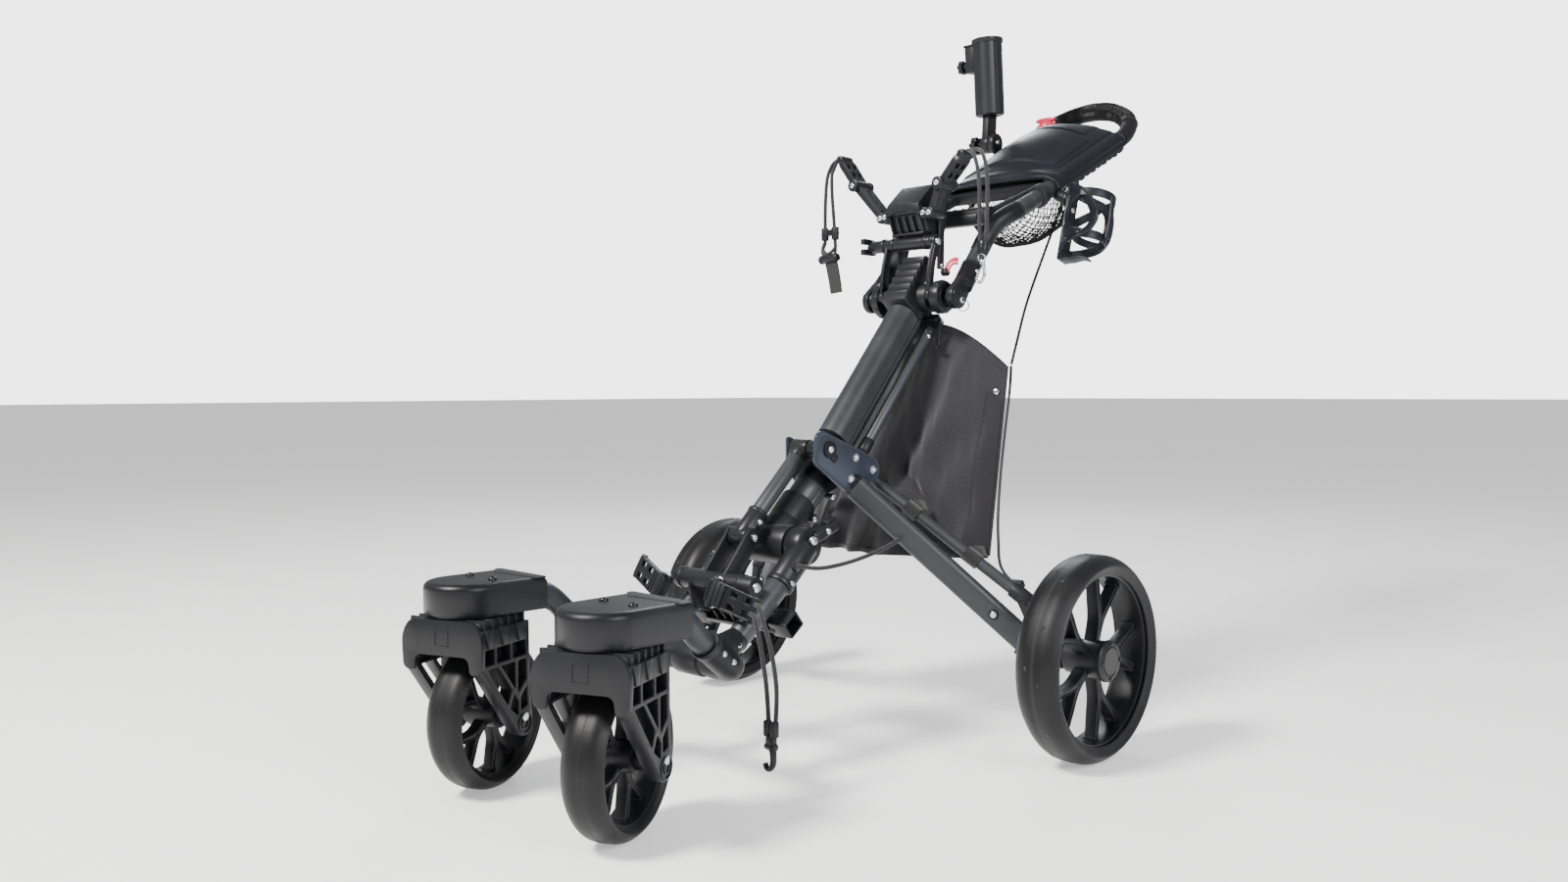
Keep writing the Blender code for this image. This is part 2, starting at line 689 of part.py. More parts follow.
def lower_pads():
    for name, side in SIDES.items():
        hinge, centre = LOWER_PADS[name]
        axis = pivot(f"lower_pad_axis_{name}", hinge, FRONT)
        lean = (
            Matrix.Rotation(math.radians(18), 4, "Y")
            @ Matrix.Rotation(side * math.radians(14), 4, "Z")
            @ Matrix.Rotation(math.radians(-14), 4, "X")
        )
        place = Matrix.Translation(hinge) @ lean @ Matrix.Translation(centre)
        plate = box((0.080, 0.007, 0.034), place, 0.0015)
        knuckle = rod(place @ Vector((-side * 0.030, 0.008, -0.016)),
                      place @ Vector((-side * 0.030, 0.008, 0.016)), 0.0075, sides=12)
        holes = [
            box((0.010, 0.020, 0.008), place @ Matrix.Translation(
                (side * (0.002 + 0.022 * column), 0.0, 0.009 - 0.018 * row)))
            for column in range(2) for row in range(2)
        ]
        node(f"lower_pad_{name}", [plate, knuckle], axis, BLACK_PLASTIC, holes)


def fold_strut():
    top, foot = Vector((0.0, *STRUT_TOP)), Vector((0.0, *STRUT_FOOT))
    along = (foot - top).normalized()
    pieces = [
        rod(top, foot - 0.004 * along, 0.0120, sides=16),
        cross_rod(-0.0155, 0.0155, STRUT_TOP, 0.0140, 16),
        rod(foot - 0.045 * along, foot, 0.0145, sides=16),
        cross_rod(-0.0160, 0.0160, STRUT_FOOT, 0.0135, 16),
    ]
    node("fold_strut", pieces, STRUT, TUBE_GREY)


# ---------------------------------------------------------------- handle

HANDLE_ROUTE = [
    (0.0850, 0.0800, 0.6830), (0.0835, 0.0935, 0.6980), (0.0820, 0.1091, 0.7165),
    (0.0830, 0.1279, 0.7415), (0.0880, 0.1415, 0.7661), (0.0970, 0.1519, 0.7857),
    (0.1060, 0.1690, 0.7990), (0.1120, 0.1930, 0.8108), (0.1110, 0.2288, 0.8263),
    (0.1072, 0.2850, 0.8526), (0.1070, 0.3300, 0.8745), (0.1070, 0.4400, 0.9282),
    (0.1070, 0.5250, 0.9700),
]
GRIP_ROUTE = [
    (0.1070, 0.5272, 0.9711), (0.1080, 0.5480, 0.9850), (0.1010, 0.5720, 1.0060),
    (0.0800, 0.5900, 1.0260), (0.0450, 0.6050, 1.0430),
]


def handle_tubes():
    for name, side in SIDES.items():
        route = [mirrored(point, side) for point in HANDLE_ROUTE]
        foot = flat(
            [*arc(HUB, 0.0200, 150, 330, 8), (0.1060, 0.6980), (0.0900, 0.7130)], 0.0110,
            side_view(side * 0.0855),
        )
        node(f"handle_tube_{name}", [tube(route, 0.0140, 2), foot], HANDLE, TUBE_GREY)


def handle_grip():
    left = [mirrored(point, -1) for point in GRIP_ROUTE]
    right = [mirrored(point, 1) for point in reversed(GRIP_ROUTE)]
    route = [*left, Vector((0.0, 0.6120, 1.0500)), *right]
    node("handle_grip", [tube(route, 0.0155, 2)], HANDLE, RUBBER)


def console():
    """The tray between the handle tubes, with a pocket in it, and its domed lid."""
    slope = Matrix.Rotation(HANDLE_SLOPE, 4, "X")
    tray = box((0.2120, 0.2450, 0.0200), Matrix.Translation(on_handle(0, 0.1350, 0.0)) @ slope,
               0.003)
    pocket = box((0.1700, 0.1900, 0.0300), Matrix.Translation(
        on_handle(0, 0.1350, 0.0110)) @ slope)
    cross = [block((0.0, 0.1560, 0.8010), (0.1600, 0.0200, 0.0260), 0.0, 0.002)]
    beam_sides = [
        bar((side * 0.0730, 0.1560, 0.8010), on_handle(side * 0.0860, 0.0200, 0.0),
            oval(0.012, 0.018, 3))
        for side in SIDES.values()
    ]
    post = [
        box((0.0300, 0.0860, 0.0080), Matrix.Translation(on_handle(-0.0580, 0.2850, -0.004))
            @ slope),
        rod(on_handle(-0.0580, 0.3133, -0.006), BRAKE_PLACE - 0.0075 * (
            BRAKE_PLACE - on_handle(-0.0580, 0.3133, 0.0)).normalized(), 0.0080, sides=12),
    ]
    tubes = [
        tube([mirrored(point, side) for point in HANDLE_ROUTE], 0.0140 + GAP, 2)
        for side in SIDES.values()
    ]
    pieces = [tray, *cross, *beam_sides, *post]
    node("console_tray", pieces, HANDLE, BLACK_PLASTIC, [pocket, *tubes])

    def dome(u, v):
        across = 2 * u - 1
        x = 0.1250 * math.copysign(math.sin(math.pi / 2 * abs(across)) ** 0.9, across)
        crown = 0.0170 + 0.0400 * math.sin(math.pi / 2 * min(1.0, v / 0.6)) ** 0.8
        crown -= 0.0120 * max(0.0, (v - 0.75) / 0.25) ** 2
        shoulder = -0.0060 + 0.0260 * max(0.0, 1 - (x / 0.1250) ** 10) ** 0.5
        arch = max(0.0, 1 - (x / 0.1080) ** 2) ** 1.3
        front = 0.0300 - 0.0140 * (x / 0.1250) ** 2
        along = front + (0.2610 - front) * v
        return on_handle(x, along, shoulder + max(0.0, crown - 0.0195) * arch)

    corner = box((0.0500, 0.1200, 0.0800), Matrix.Translation(
        on_handle(-0.1300, 0.2350, 0.0)) @ slope)
    node("console_lid", [skin(21, 11, dome, 0.0024)], LID, BLACK_PLASTIC, [corner])


def storage_net():
    """The net pouch that hangs under the console, open at the top."""
    centre = on_handle(0.0, 0.0960, -0.0230)
    slope = Matrix.Translation(centre) @ Matrix.Rotation(HANDLE_SLOPE, 4, "X")

    def pouch(u, v):
        around = math.tau * u
        down = math.pi / 2 * v
        shape = (0.0880 * math.cos(around) * math.cos(down),
                 0.1250 * math.sin(around) * math.cos(down), -0.0920 * math.sin(down))
        return slope @ Vector(shape)

    bm = bmesh.new()
    count, rows = 20, 6
    rings = [
        [bm.verts.new(pouch(i / count, j / rows)) for i in range(count)] for j in range(rows)
    ]
    for upper, lower in zip(rings, rings[1:]):
        for i in range(count):
            k = (i + 1) % count
            bm.faces.new((upper[i], lower[i], lower[k], upper[k]))
    bm.faces.new(list(reversed(rings[-1])))
    net = from_bmesh(bm)
    solidify = net.modifiers.new("thickness", "SOLIDIFY")
    solidify.thickness = 0.0030
    solidify.offset = 0.0
    node("storage_net", [net], HANDLE, NET)


def bottle_cage():
    """The bottle cage outboard of the right handle tube: a spine and two hoops."""
    low, high = Vector((0.1440, 0.2780, 0.7330)), Vector((0.1440, 0.3120, 0.8500))
    up = (high - low).normalized()
    spine = bar(low, high, [(-0.003, -0.014), (0.003, -0.014), (0.003, 0.014), (-0.003, 0.014)])
    pieces = [spine]
    for share, radius in ((0.22, 0.0350), (0.84, 0.0370)):
        centre = low + share * (high - low) + Vector((radius, 0.0, 0.0))
        place = axes_matrix(centre, up, (1, 0, 0))
        hoop = turned(
            [(radius + 0.002, 0.006), (radius + 0.002, -0.006), (radius - 0.002, -0.006),
             (radius - 0.002, 0.006)], place, 24,
        )
        pieces.append(hoop)
    shelf = bar(low + Vector((-0.002, 0, 0)), low + Vector((0.046, 0.0, 0.0)),
                [(-0.002, -0.012), (0.002, -0.012), (0.002, 0.012), (-0.002, 0.012)], up)
    strut = bar(
        low + 0.22 * (high - low) + Vector((0.0700, 0.0, 0.0)),
        low + 0.84 * (high - low) + Vector((0.0740, 0.0, 0.0)), oval(0.005, 0.010, 3),
    )
    clamp = rod((0.1100, 0.3050, 0.8500), (0.1435, 0.3020, 0.8340), 0.0095, sides=12)
    pieces += [shelf, strut, clamp]
    trim = tube(HANDLE_ROUTE, 0.0140 + GAP, 2)
    node("bottle_cage", pieces, HANDLE, BLACK_PLASTIC, [trim])


def cup_axis():
    return Vector((0.0, -0.0105, 0.1422)).normalized()


def umbrella_holder():
    base = (CUP_X, *TILT_PIVOT)
    mount = [
        cross_rod(CUP_X + 0.0192, CUP_X + 0.0083, TILT_PIVOT, 0.0165, 18),
        bar((CUP_X + 0.0135, *TILT_PIVOT), (CUP_X + 0.0135, 0.4860, 0.9620), oval(0.010, 0.022, 4)),
        block((CUP_X + 0.0160, 0.4820, 0.9640), (0.026, 0.050, 0.010), HANDLE_SLOPE, 0.001),
    ]
    trim = tube([mirrored(point, -1) for point in HANDLE_ROUTE], 0.0140 + GAP, 2)
    node("umbrella_mount", mount, HANDLE, BLACK_PLASTIC, [trim])
    foot = Vector((CUP_X, 0.4682, 1.0426))
    axis = cup_axis()
    place = axes_matrix(foot, axis, (1, 0, 0))
    radius, wall, height = 0.0275, 0.0025, 0.1430
    cup = turned(
        [(0.0, 0.006), (radius - wall, 0.006), (radius - wall, height), (radius + 0.002, height),
         (radius + 0.002, height - 0.006), (radius, height - 0.008), (radius, 0.004),
         (radius - 0.002, 0.0), (0.0, 0.0)],
        place, 28, closed=False,
    )
    arm = [
        bar(base, foot + 0.004 * axis, oval(0.014, 0.027, 4)),
        cross_rod(CUP_X - 0.0082, CUP_X + 0.0079, TILT_PIVOT, 0.0160, 18),
        cross_rod(CUP_X - 0.0230, CUP_X - 0.0070, TILT_PIVOT, 0.0060, 12),
        cross_rod(CUP_X - 0.0330, CUP_X - 0.0210, TILT_PIVOT, 0.0135, 10),
    ]
    side_foot = foot + 0.100 * axis + Vector((-radius - 0.0085, 0.0, 0.0))
    clamp = [
        bar(side_foot - 0.012 * axis, side_foot + 0.032 * axis,
            [(-0.0100, -0.011), (0.0098, -0.011), (0.0098, 0.011), (-0.0100, 0.011)]),
        rod(side_foot + Vector((-0.008, 0, 0)), side_foot + Vector((-0.020, 0, 0)), 0.0050, sides=10),
        rod(side_foot + Vector((-0.018, 0, 0)), side_foot + Vector((-0.027, 0, 0)), 0.0120, sides=10),
    ]
    node("umbrella_cup", [cup, *arm, *clamp], TILT, BLACK_PLASTIC)


def brake_lever():
    """The red knob on its post behind the console."""
    normal = Vector((0.0, -math.sin(HANDLE_SLOPE), math.cos(HANDLE_SLOPE)))
    knob = rod(BRAKE_PLACE - 0.007 * normal, BRAKE_PLACE + 0.008 * normal, 0.0190, 0.0150, 16)
    wing = bar(BRAKE_PLACE + 0.006 * normal + Vector((-0.020, 0, 0)),
               BRAKE_PLACE + 0.006 * normal + Vector((0.020, 0, 0)), oval(0.012, 0.010, 4), normal)
    node("brake_lever", [knob, wing], BRAKE, RED_PLASTIC)


def hub_knobs():
    for name, side in SIDES.items():
        axis = pivot(f"hub_knob_axis_{name}", (side * 0.064, *HUB), CART)
        reach = 0.0300 if name == "left" else 0.0265
        disc = turned(
            [(0.0, 0.0086), (reach - 0.006, 0.0086), (reach, 0.0040), (reach, -0.0086),
             (0.0, -0.0086)],
            wheel_place(side * 0.0600, *HUB) @ Matrix.Rotation(
                0.0 if side > 0 else math.pi, 4, "X"),
            24, closed=False,
        )
        node(f"hub_knob_{name}", [disc], axis, BLACK_PLASTIC)


# ---------------------------------------------------------------- upper cradle

# Hinge, elbow and tip of each arm.
CRADLE_ARMS = {
    "left": (
        Vector((-0.0485, 0.0550, 0.7980)), Vector((-0.1040, 0.0550, 0.8570)),
        Vector((-0.1400, 0.0550, 0.9050)),
    ),
    "right": (
        Vector((0.0500, 0.0550, 0.7985)), Vector((0.0690, 0.0550, 0.8420)),
        Vector((0.1080, 0.0550, 0.8830)),
    ),
}


def upper_cradle():
    """The bag rest over the hub, its cross axle, its four links and its two arms."""
    axle = (0.0600, 0.7550)
    rest = [
        flat([(0.0380, 0.7990), (0.0340, 0.8140), (0.0640, 0.8400), (0.0760, 0.8500),
              (0.1120, 0.8440), (0.1150, 0.8220), (0.1050, 0.7990)], 0.0640, side_view()),
        flat([(0.0420, 0.8010), (0.1060, 0.8010), (0.0960, 0.7700), (0.0560, 0.7700)],
             0.0740, side_view()),
        flat([(0.0490, 0.7710), (0.0980, 0.7710), (0.0980, 0.7680), (0.0490, 0.7680)],
             0.0600, side_view()),
        flat([(0.0740, 0.7720), (0.0960, 0.7720), (0.0960, 0.7500), (0.0840, 0.7470)],
             0.0560, side_view()),
    ]
    for side in SIDES.values():
        rest.append(
            bar((side * 0.0400, 0.0830, 0.7900), (side * 0.0400, 0.0820, 0.7130),
                oval(0.0060, 0.0130, 4))
        )
    node("cradle_block", rest, HANDLE, BLACK_PLASTIC)
    gear = [cross_rod(-0.0850, 0.0515, axle, 0.0105, 14)]
    gear.append(block((-0.0880, axle[0] - 0.004, axle[1] + 0.002), (0.008, 0.026, 0.026), 0.3, 0.002))
    for side in SIDES.values():
        x = side * 0.0470
        gear.append(bar((x, *axle), (x, HUB[0] - 0.0190, HUB[1] + 0.0030), oval(0.0060, 0.0150, 4)))
    node("cradle_links", gear, HANDLE, BLACK_PLASTIC)
    for name, side in SIDES.items():
        hinge, elbow, tip = CRADLE_ARMS[name]
        axis = pivot(f"cradle_arm_axis_{name}", hinge, HANDLE)
        reach = Vector((0.0, 0.0160, 0.0))
        lower, upper = elbow - hinge, tip - elbow
        arm = [
            bar(hinge, elbow, oval(0.0110, 0.0300, 2), (lower.z, 0, -lower.x)),
            rod(elbow - reach, elbow + reach, 0.0085, sides=12),
            bar(elbow, tip, oval(0.0110, 0.0320, 2), (upper.z, 0, -upper.x)),
            rod(hinge - reach, hinge + reach, 0.0080, sides=12),
        ]
        route = BUNGEE_LEFT if name == "left" else BUNGEE_RIGHT
        node(f"cradle_arm_{name}", arm, axis, BLACK_PLASTIC, [channel(route, BUNGEE_RADIUS)])


# ---------------------------------------------------------------- soft goods


def apron_point(x_share, drop):
    """The cloth behind the legs: an arched top edge, and wider at the bottom."""
    across = 2 * x_share - 1
    top = 0.6270 - 0.0720 * abs(across) ** 1.8
    z = top + (0.2740 - top) * drop
    fall = (0.6270 - z) / 0.353
    x = across * (0.1500 + 0.0450 * max(0.0, (0.555 - z) / 0.281))
    middle, edge = 0.1120 - 0.1920 * fall, 0.1360 - 0.1420 * fall
    return Vector((x, middle + (edge - middle) * across * across, z))


def rear_apron():
    node("rear_apron", [skin(17, 13, apron_point, 0.0040)], CART, FABRIC)


# Routes of the cords, each point chosen along the way that the cord hangs or runs.
BUNGEE_LEFT = [
    (-0.1440, 0.0660, 0.9110), (-0.1530, 0.0600, 0.9110), (-0.1600, 0.0480, 0.9010),
    (-0.1630, 0.0380, 0.8800), (-0.1620, 0.0320, 0.8500), (-0.1610, 0.0290, 0.8100),
    (-0.1600, 0.0280, 0.7700), (-0.1640, 0.0270, 0.7560), (-0.1520, 0.0250, 0.7475),
    (-0.1370, 0.0260, 0.7560), (-0.1370, 0.0270, 0.7700), (-0.1420, 0.0290, 0.8100),
    (-0.1500, 0.0340, 0.8500), (-0.1545, 0.0390, 0.8800), (-0.1530, 0.0430, 0.8920),
    (-0.1485, 0.0440, 0.9020), (-0.1416, 0.0420, 0.9090),
]
BUNGEE_RIGHT = [
    (0.1130, 0.0520, 0.8870), (0.1220, 0.0480, 0.8860), (0.1350, 0.0400, 0.8760),
    (0.1480, 0.0310, 0.8530), (0.1580, 0.0220, 0.8180), (0.1650, 0.0120, 0.7700),
    (0.1710, 0.0060, 0.7350), (0.1725, 0.0040, 0.7200), (0.1775, 0.0000, 0.7135),
    (0.1825, 0.0040, 0.7200), (0.1805, 0.0080, 0.7350), (0.1760, 0.0150, 0.7700),
    (0.1690, 0.0270, 0.8190), (0.1590, 0.0380, 0.8540), (0.1430, 0.0500, 0.8800),
    (0.1260, 0.0610, 0.8890), (0.1140, 0.0640, 0.8900),
]
BUNGEE_LOWER = [
    (0.1140, -0.4100, 0.2430), (0.1240, -0.4120, 0.2400), (0.1370, -0.4180, 0.2250),
    (0.1560, -0.4240, 0.1950), (0.1720, -0.4300, 0.1500), (0.1760, -0.4350, 0.1080),
    (0.1760, -0.4380, 0.0900), (0.1730, -0.4390, 0.0790), (0.1670, -0.4390, 0.0900),
    (0.1640, -0.4360, 0.1080), (0.1560, -0.4320, 0.1500), (0.1410, -0.4270, 0.1950),
    (0.1280, -0.4220, 0.2200), (0.1190, -0.4170, 0.2290), (0.1100, -0.4150, 0.2310),
]
STAY_CORD = [
    (0.0885, -0.3060, 0.2800), (0.0910, -0.2600, 0.2720), (0.1000, -0.2100, 0.2760),
    (0.1120, -0.1600, 0.2880), (0.1230, -0.1240, 0.3030),
]
BRAKE_CABLE_UPPER = [
    (0.0960, 0.3600, 0.8720), (0.0965, 0.3500, 0.8400), (0.0985, 0.3250, 0.8000),
    (0.1060, 0.2780, 0.7420), (0.1270, 0.1980, 0.6600), (0.1400, 0.1500, 0.5950),
    (0.1470, 0.1250, 0.5600),
]
BRAKE_CABLE_LOWER = [
    (0.1480, 0.1225, 0.5560), (0.1620, 0.0980, 0.5200), (0.1730, 0.0700, 0.4600),
    (0.1840, 0.0430, 0.4000), (0.1950, 0.0200, 0.3400), (0.2050, 0.0060, 0.2950),
    (0.2150, -0.0010, 0.2580), (0.2450, -0.0040, 0.2320), (0.2640, -0.0060, 0.2150),
]
BUNGEE_RADIUS = 0.0030
STAY_RADIUS = 0.0030
CABLE_RADIUS = 0.0022


def cord(name, route, radius, steps, empty):
    node(name, [tube(route, radius, steps)], empty, CORD)


def channel(route, radius):
    """A cutter a little wider than the cord, along part of its route."""
    return tube(route, radius + GAP, 3)


def cords():
    cord("bungee_left", BUNGEE_LEFT, BUNGEE_RADIUS, 3, HANDLE)
    cord("bungee_right", BUNGEE_RIGHT, BUNGEE_RADIUS, 3, HANDLE)
    cord("bungee_lower", BUNGEE_LOWER, BUNGEE_RADIUS, 3, FRONT)
    cord("stay_cord", STAY_CORD, STAY_RADIUS, 4, FRONT)
    cord("brake_cable_upper", BRAKE_CABLE_UPPER, CABLE_RADIUS, 5, HANDLE)
    cord("brake_cable_lower", BRAKE_CABLE_LOWER, CABLE_RADIUS, 5, CART)


def clips():
    """The clip, the snap hook and the hook on the three bungees."""
    left = [
        block((-0.1600, 0.0275, 0.7810), (0.0120, 0.0120, 0.0210), 0.0, 0.001),
        block((-0.1370, 0.0275, 0.7810), (0.0120, 0.0120, 0.0210), 0.0, 0.001),
        block((-0.1485, 0.0275, 0.7830), (0.0200, 0.0070, 0.0120)),
    ]
    left += [
        rod((-0.1700, 0.0275, 0.7385), (-0.1320, 0.0275, 0.7415), 0.0062, sides=14),
        block((-0.1370, 0.0295, 0.7560), (0.0050, 0.0050, 0.0400)),
        flat([(-0.1620, 0.7360), (-0.1370, 0.7370), (-0.1240, 0.6830), (-0.1480, 0.6810)], 0.0040,
             Matrix.Translation((0.0, 0.0290, 0.0)) @ Matrix.Rotation(math.radians(90), 4, "X")),
    ]
    node("bungee_left_clip", left, HANDLE, BLACK_PLASTIC, [channel(BUNGEE_LEFT, BUNGEE_RADIUS)])
    right = [
        rod((0.1775, 0.0060, 0.7400), (0.1775, 0.0020, 0.7185), 0.0098, sides=16),
        tube([(0.1775, 0.0010, 0.7130), (0.1795, 0.0000, 0.7050), (0.1835, -0.0010, 0.6950),
              (0.1820, -0.0020, 0.6830), (0.1760, -0.0020, 0.6780), (0.1690, -0.0015, 0.6850)],
             0.0026, 3),
        rod((0.1775, 0.0020, 0.7190), (0.1775, 0.0005, 0.7075), 0.0060, sides=12),
    ]
    node("bungee_right_hook", right, HANDLE, STEEL, [channel(BUNGEE_RIGHT, BUNGEE_RADIUS)])
    lower = [
        block((0.1705, -0.4375, 0.0960), (0.0190, 0.0120, 0.0190), 0.0, 0.002),
        block((0.1720, -0.4390, 0.0800), (0.0130, 0.0080, 0.0180), 0.0, 0.001),
        tube([(0.1720, -0.4390, 0.0760), (0.1750, -0.4390, 0.0640), (0.1740, -0.4390, 0.0500),
              (0.1670, -0.4390, 0.0450), (0.1610, -0.4390, 0.0500)], 0.0034, 3),
    ]
    node("bungee_lower_hook", lower, FRONT, BLACK_PLASTIC, [channel(BUNGEE_LOWER, BUNGEE_RADIUS)])


def build():
    main_tube()
    centre_tube()
    hub()
    guide_rods()
    side_plates()
    rear_legs()
    rear_struts()
    rear_wheels()
    fold_strut()
    front_legs()
    front_crossbeam()
    caster_arms()
    caster_housings()
    casters()
    lower_cradle()
    lower_pads()
    handle_tubes()
    handle_grip()
    console()
    storage_net()
    bottle_cage()
    umbrella_holder()
    brake_lever()
    hub_knobs()
    upper_cradle()
    rear_apron()
    cords()
    clips()


build()
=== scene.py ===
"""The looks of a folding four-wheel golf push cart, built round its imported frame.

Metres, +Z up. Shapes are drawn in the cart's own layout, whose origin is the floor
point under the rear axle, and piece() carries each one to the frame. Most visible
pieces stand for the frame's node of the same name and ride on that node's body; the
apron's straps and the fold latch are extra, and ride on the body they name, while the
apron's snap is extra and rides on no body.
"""

import json
import math

import bmesh
import bpy
from mathutils import Matrix, Vector, noise

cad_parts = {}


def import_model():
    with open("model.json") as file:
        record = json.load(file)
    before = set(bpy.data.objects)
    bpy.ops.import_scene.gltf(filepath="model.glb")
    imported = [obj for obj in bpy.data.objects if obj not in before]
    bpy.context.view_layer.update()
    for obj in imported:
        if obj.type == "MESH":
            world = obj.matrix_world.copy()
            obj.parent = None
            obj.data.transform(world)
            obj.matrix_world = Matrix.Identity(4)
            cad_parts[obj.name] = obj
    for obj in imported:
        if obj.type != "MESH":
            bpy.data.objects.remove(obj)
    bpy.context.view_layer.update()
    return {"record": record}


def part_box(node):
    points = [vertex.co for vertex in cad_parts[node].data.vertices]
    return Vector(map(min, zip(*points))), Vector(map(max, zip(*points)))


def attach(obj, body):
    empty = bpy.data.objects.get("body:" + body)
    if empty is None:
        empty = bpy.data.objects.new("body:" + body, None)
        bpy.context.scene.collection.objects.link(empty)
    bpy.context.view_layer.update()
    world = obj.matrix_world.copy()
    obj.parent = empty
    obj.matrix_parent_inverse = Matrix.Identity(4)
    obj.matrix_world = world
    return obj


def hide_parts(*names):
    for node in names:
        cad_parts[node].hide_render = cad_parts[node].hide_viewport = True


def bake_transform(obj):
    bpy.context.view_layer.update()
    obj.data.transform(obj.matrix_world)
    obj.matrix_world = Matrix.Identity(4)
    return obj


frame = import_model()


def middle(node):
    """The centre of a CAD node's box."""
    low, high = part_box(node)
    return (low + high) / 2


BODY_OF = {
    node: body
    for body, nodes in frame["record"]["behaviour"]["bodies"].items()
    for node in nodes
}
AXLE = middle("rear_rim_right")
LAYOUT = Matrix.Translation((0.0, round(AXLE.y, 4), 0.0))
SIDES = {"left": -1.0, "right": 1.0}

# ---------------------------------------------------------------- camera, light, floor


def turned_to(azimuth, elevation, roll):
    """A camera's rotation: azimuth from -Y round to +X, all in degrees."""
    a, e, r = map(math.radians, (azimuth, elevation, roll))
    back = Vector((math.sin(a) * math.cos(e), -math.cos(a) * math.cos(e), math.sin(e)))
    right = Vector((math.cos(a), math.sin(a), 0.0))
    up = back.cross(right)
    tilted = math.cos(r) * right + math.sin(r) * up
    return Matrix((tilted, back.cross(tilted), back)).transposed().to_4x4()


SENSOR_WIDTH = 36.0  # millimetres, as is the lens
LENS = 28.49
CAMERA_PLACE = (1.25425, -1.52644, 0.52015)
CAMERA_TURN = (44.2245, 2.3539, -0.2018)


def camera():
    data = bpy.data.cameras.new("camera")
    data.sensor_width = SENSOR_WIDTH
    data.lens = LENS
    made = bpy.data.objects.new("camera", data)
    bpy.context.scene.collection.objects.link(made)
    made.matrix_world = LAYOUT @ Matrix.Translation(CAMERA_PLACE) @ turned_to(*CAMERA_TURN)
    bpy.context.scene.camera = made


def area_light(name, place, target, size, watts, colour=(1.0, 1.0, 1.0)):
    data = bpy.data.lights.new(name, "AREA")
    data.shape = "RECTANGLE"
    data.size, data.size_y = size
    data.energy = watts
    data.color = colour
    lamp = bpy.data.objects.new(name, data)
    bpy.context.scene.collection.objects.link(lamp)
    lamp.location = place
    lamp.rotation_euler = (Vector(target) - Vector(place)).to_track_quat("-Z", "Y").to_euler()


SKY_LIGHT = 0.45  # what the world adds to the lighting
SKY_SEEN = 4.0  # how bright the camera sees it
FLOOR_HALF = 60.0
FLOOR_GLOW = 0.45


def studio():
    """Three soft area lights, a plain world, and a pale floor that gives off a little light."""
    world = bpy.data.worlds.new("studio")
    world.use_nodes = True
    tree = world.node_tree
    sky = tree.nodes["Background"]
    sky.inputs["Color"].default_value = (1.0, 1.0, 1.0, 1.0)
    backdrop = tree.nodes.new("ShaderNodeMapRange")
    backdrop.inputs["To Min"].default_value = SKY_LIGHT
    backdrop.inputs["To Max"].default_value = SKY_SEEN
    tree.links.new(
        tree.nodes.new("ShaderNodeLightPath").outputs["Is Camera Ray"], backdrop.inputs["Value"])
    tree.links.new(backdrop.outputs["Result"], sky.inputs["Strength"])
    bpy.context.scene.world = world
    area_light("key", (-0.5, -2.6, 3.0), (0.0, 0.0, 0.5), (0.8, 0.8), 300.0, (1.0, 0.97, 0.93))
    area_light("front_fill", (2.6, -0.6, 1.6), (0.0, 0.0, 0.5), (1.4, 1.4), 70.0)
    area_light("back_rim", (-1.8, 2.2, 2.4), (0.0, 0.0, 0.6), (1.2, 1.2), 45.0, (0.92, 0.96, 1.0))

    floor = new_shape()
    bmesh.ops.create_grid(floor, x_segments=2, y_segments=2, size=FLOOR_HALF)
    data = bpy.data.meshes.new("floor")
    floor.to_mesh(data)
    made = bpy.data.objects.new("floor", data)
    bpy.context.scene.collection.objects.link(made)
    white = look("floor_white", (0.85, 0.85, 0.85), 0.9, depth=0.0, variation=0.01)
    glow = white.node_tree.nodes["Principled BSDF"]
    glow.inputs["Emission Color"].default_value = (1.0, 1.0, 1.0, 1.0)
    glow.inputs["Emission Strength"].default_value = FLOOR_GLOW
    data.materials.append(white)


# ---------------------------------------------------------------- materials


def look(name, colour, roughness, metallic=0.0, variation=0.18, grain=900.0, depth=0.05,
         coat=0.0, worn=0.0, patches=14.0, gloss=0.5):
    """A moulded, painted or rubber surface: fine grain, uneven tone, paler worn edges."""
    made = bpy.data.materials.new(name)
    made.use_nodes = True
    tree = made.node_tree
    shader = tree.nodes["Principled BSDF"]
    shader.inputs["Metallic"].default_value = metallic
    shader.inputs["Coat Weight"].default_value = coat
    shader.inputs["Coat Roughness"].default_value = 0.25
    shader.inputs["Specular IOR Level"].default_value = gloss
    place = tree.nodes.new("ShaderNodeTexCoord").outputs["Object"]
    patchy = noise_node(tree, place, patches, 4.0)
    tone = mix_node(
        tree, patchy, tuple(c * (1 - variation) for c in colour),
        tuple(min(1.0, c * (1 + variation)) for c in colour),
    )
    if worn:
        edge = tree.nodes.new("ShaderNodeNewGeometry").outputs["Pointiness"]
        share = range_node(tree, edge, 0.505, 0.56, 0.0, worn)
        worn_mix = tree.nodes.new("ShaderNodeMix")
        worn_mix.data_type = "RGBA"
        tree.links.new(share, worn_mix.inputs[0])
        tree.links.new(tone, worn_mix.inputs[6])
        worn_mix.inputs[7].default_value = (*(min(1.0, 3.0 * c + 0.02) for c in colour), 1.0)
        tone = worn_mix.outputs[2]
    tree.links.new(tone, shader.inputs["Base Color"])
    tree.links.new(
        range_node(tree, patchy, 0.3, 0.7, max(0.05, roughness - 0.07), min(1.0, roughness + 0.07)),
        shader.inputs["Roughness"],
    )
    if depth:
        fine = noise_node(tree, place, grain, 2.0)
        bump_node(tree, fine, depth, 0.0004, shader)
    return made


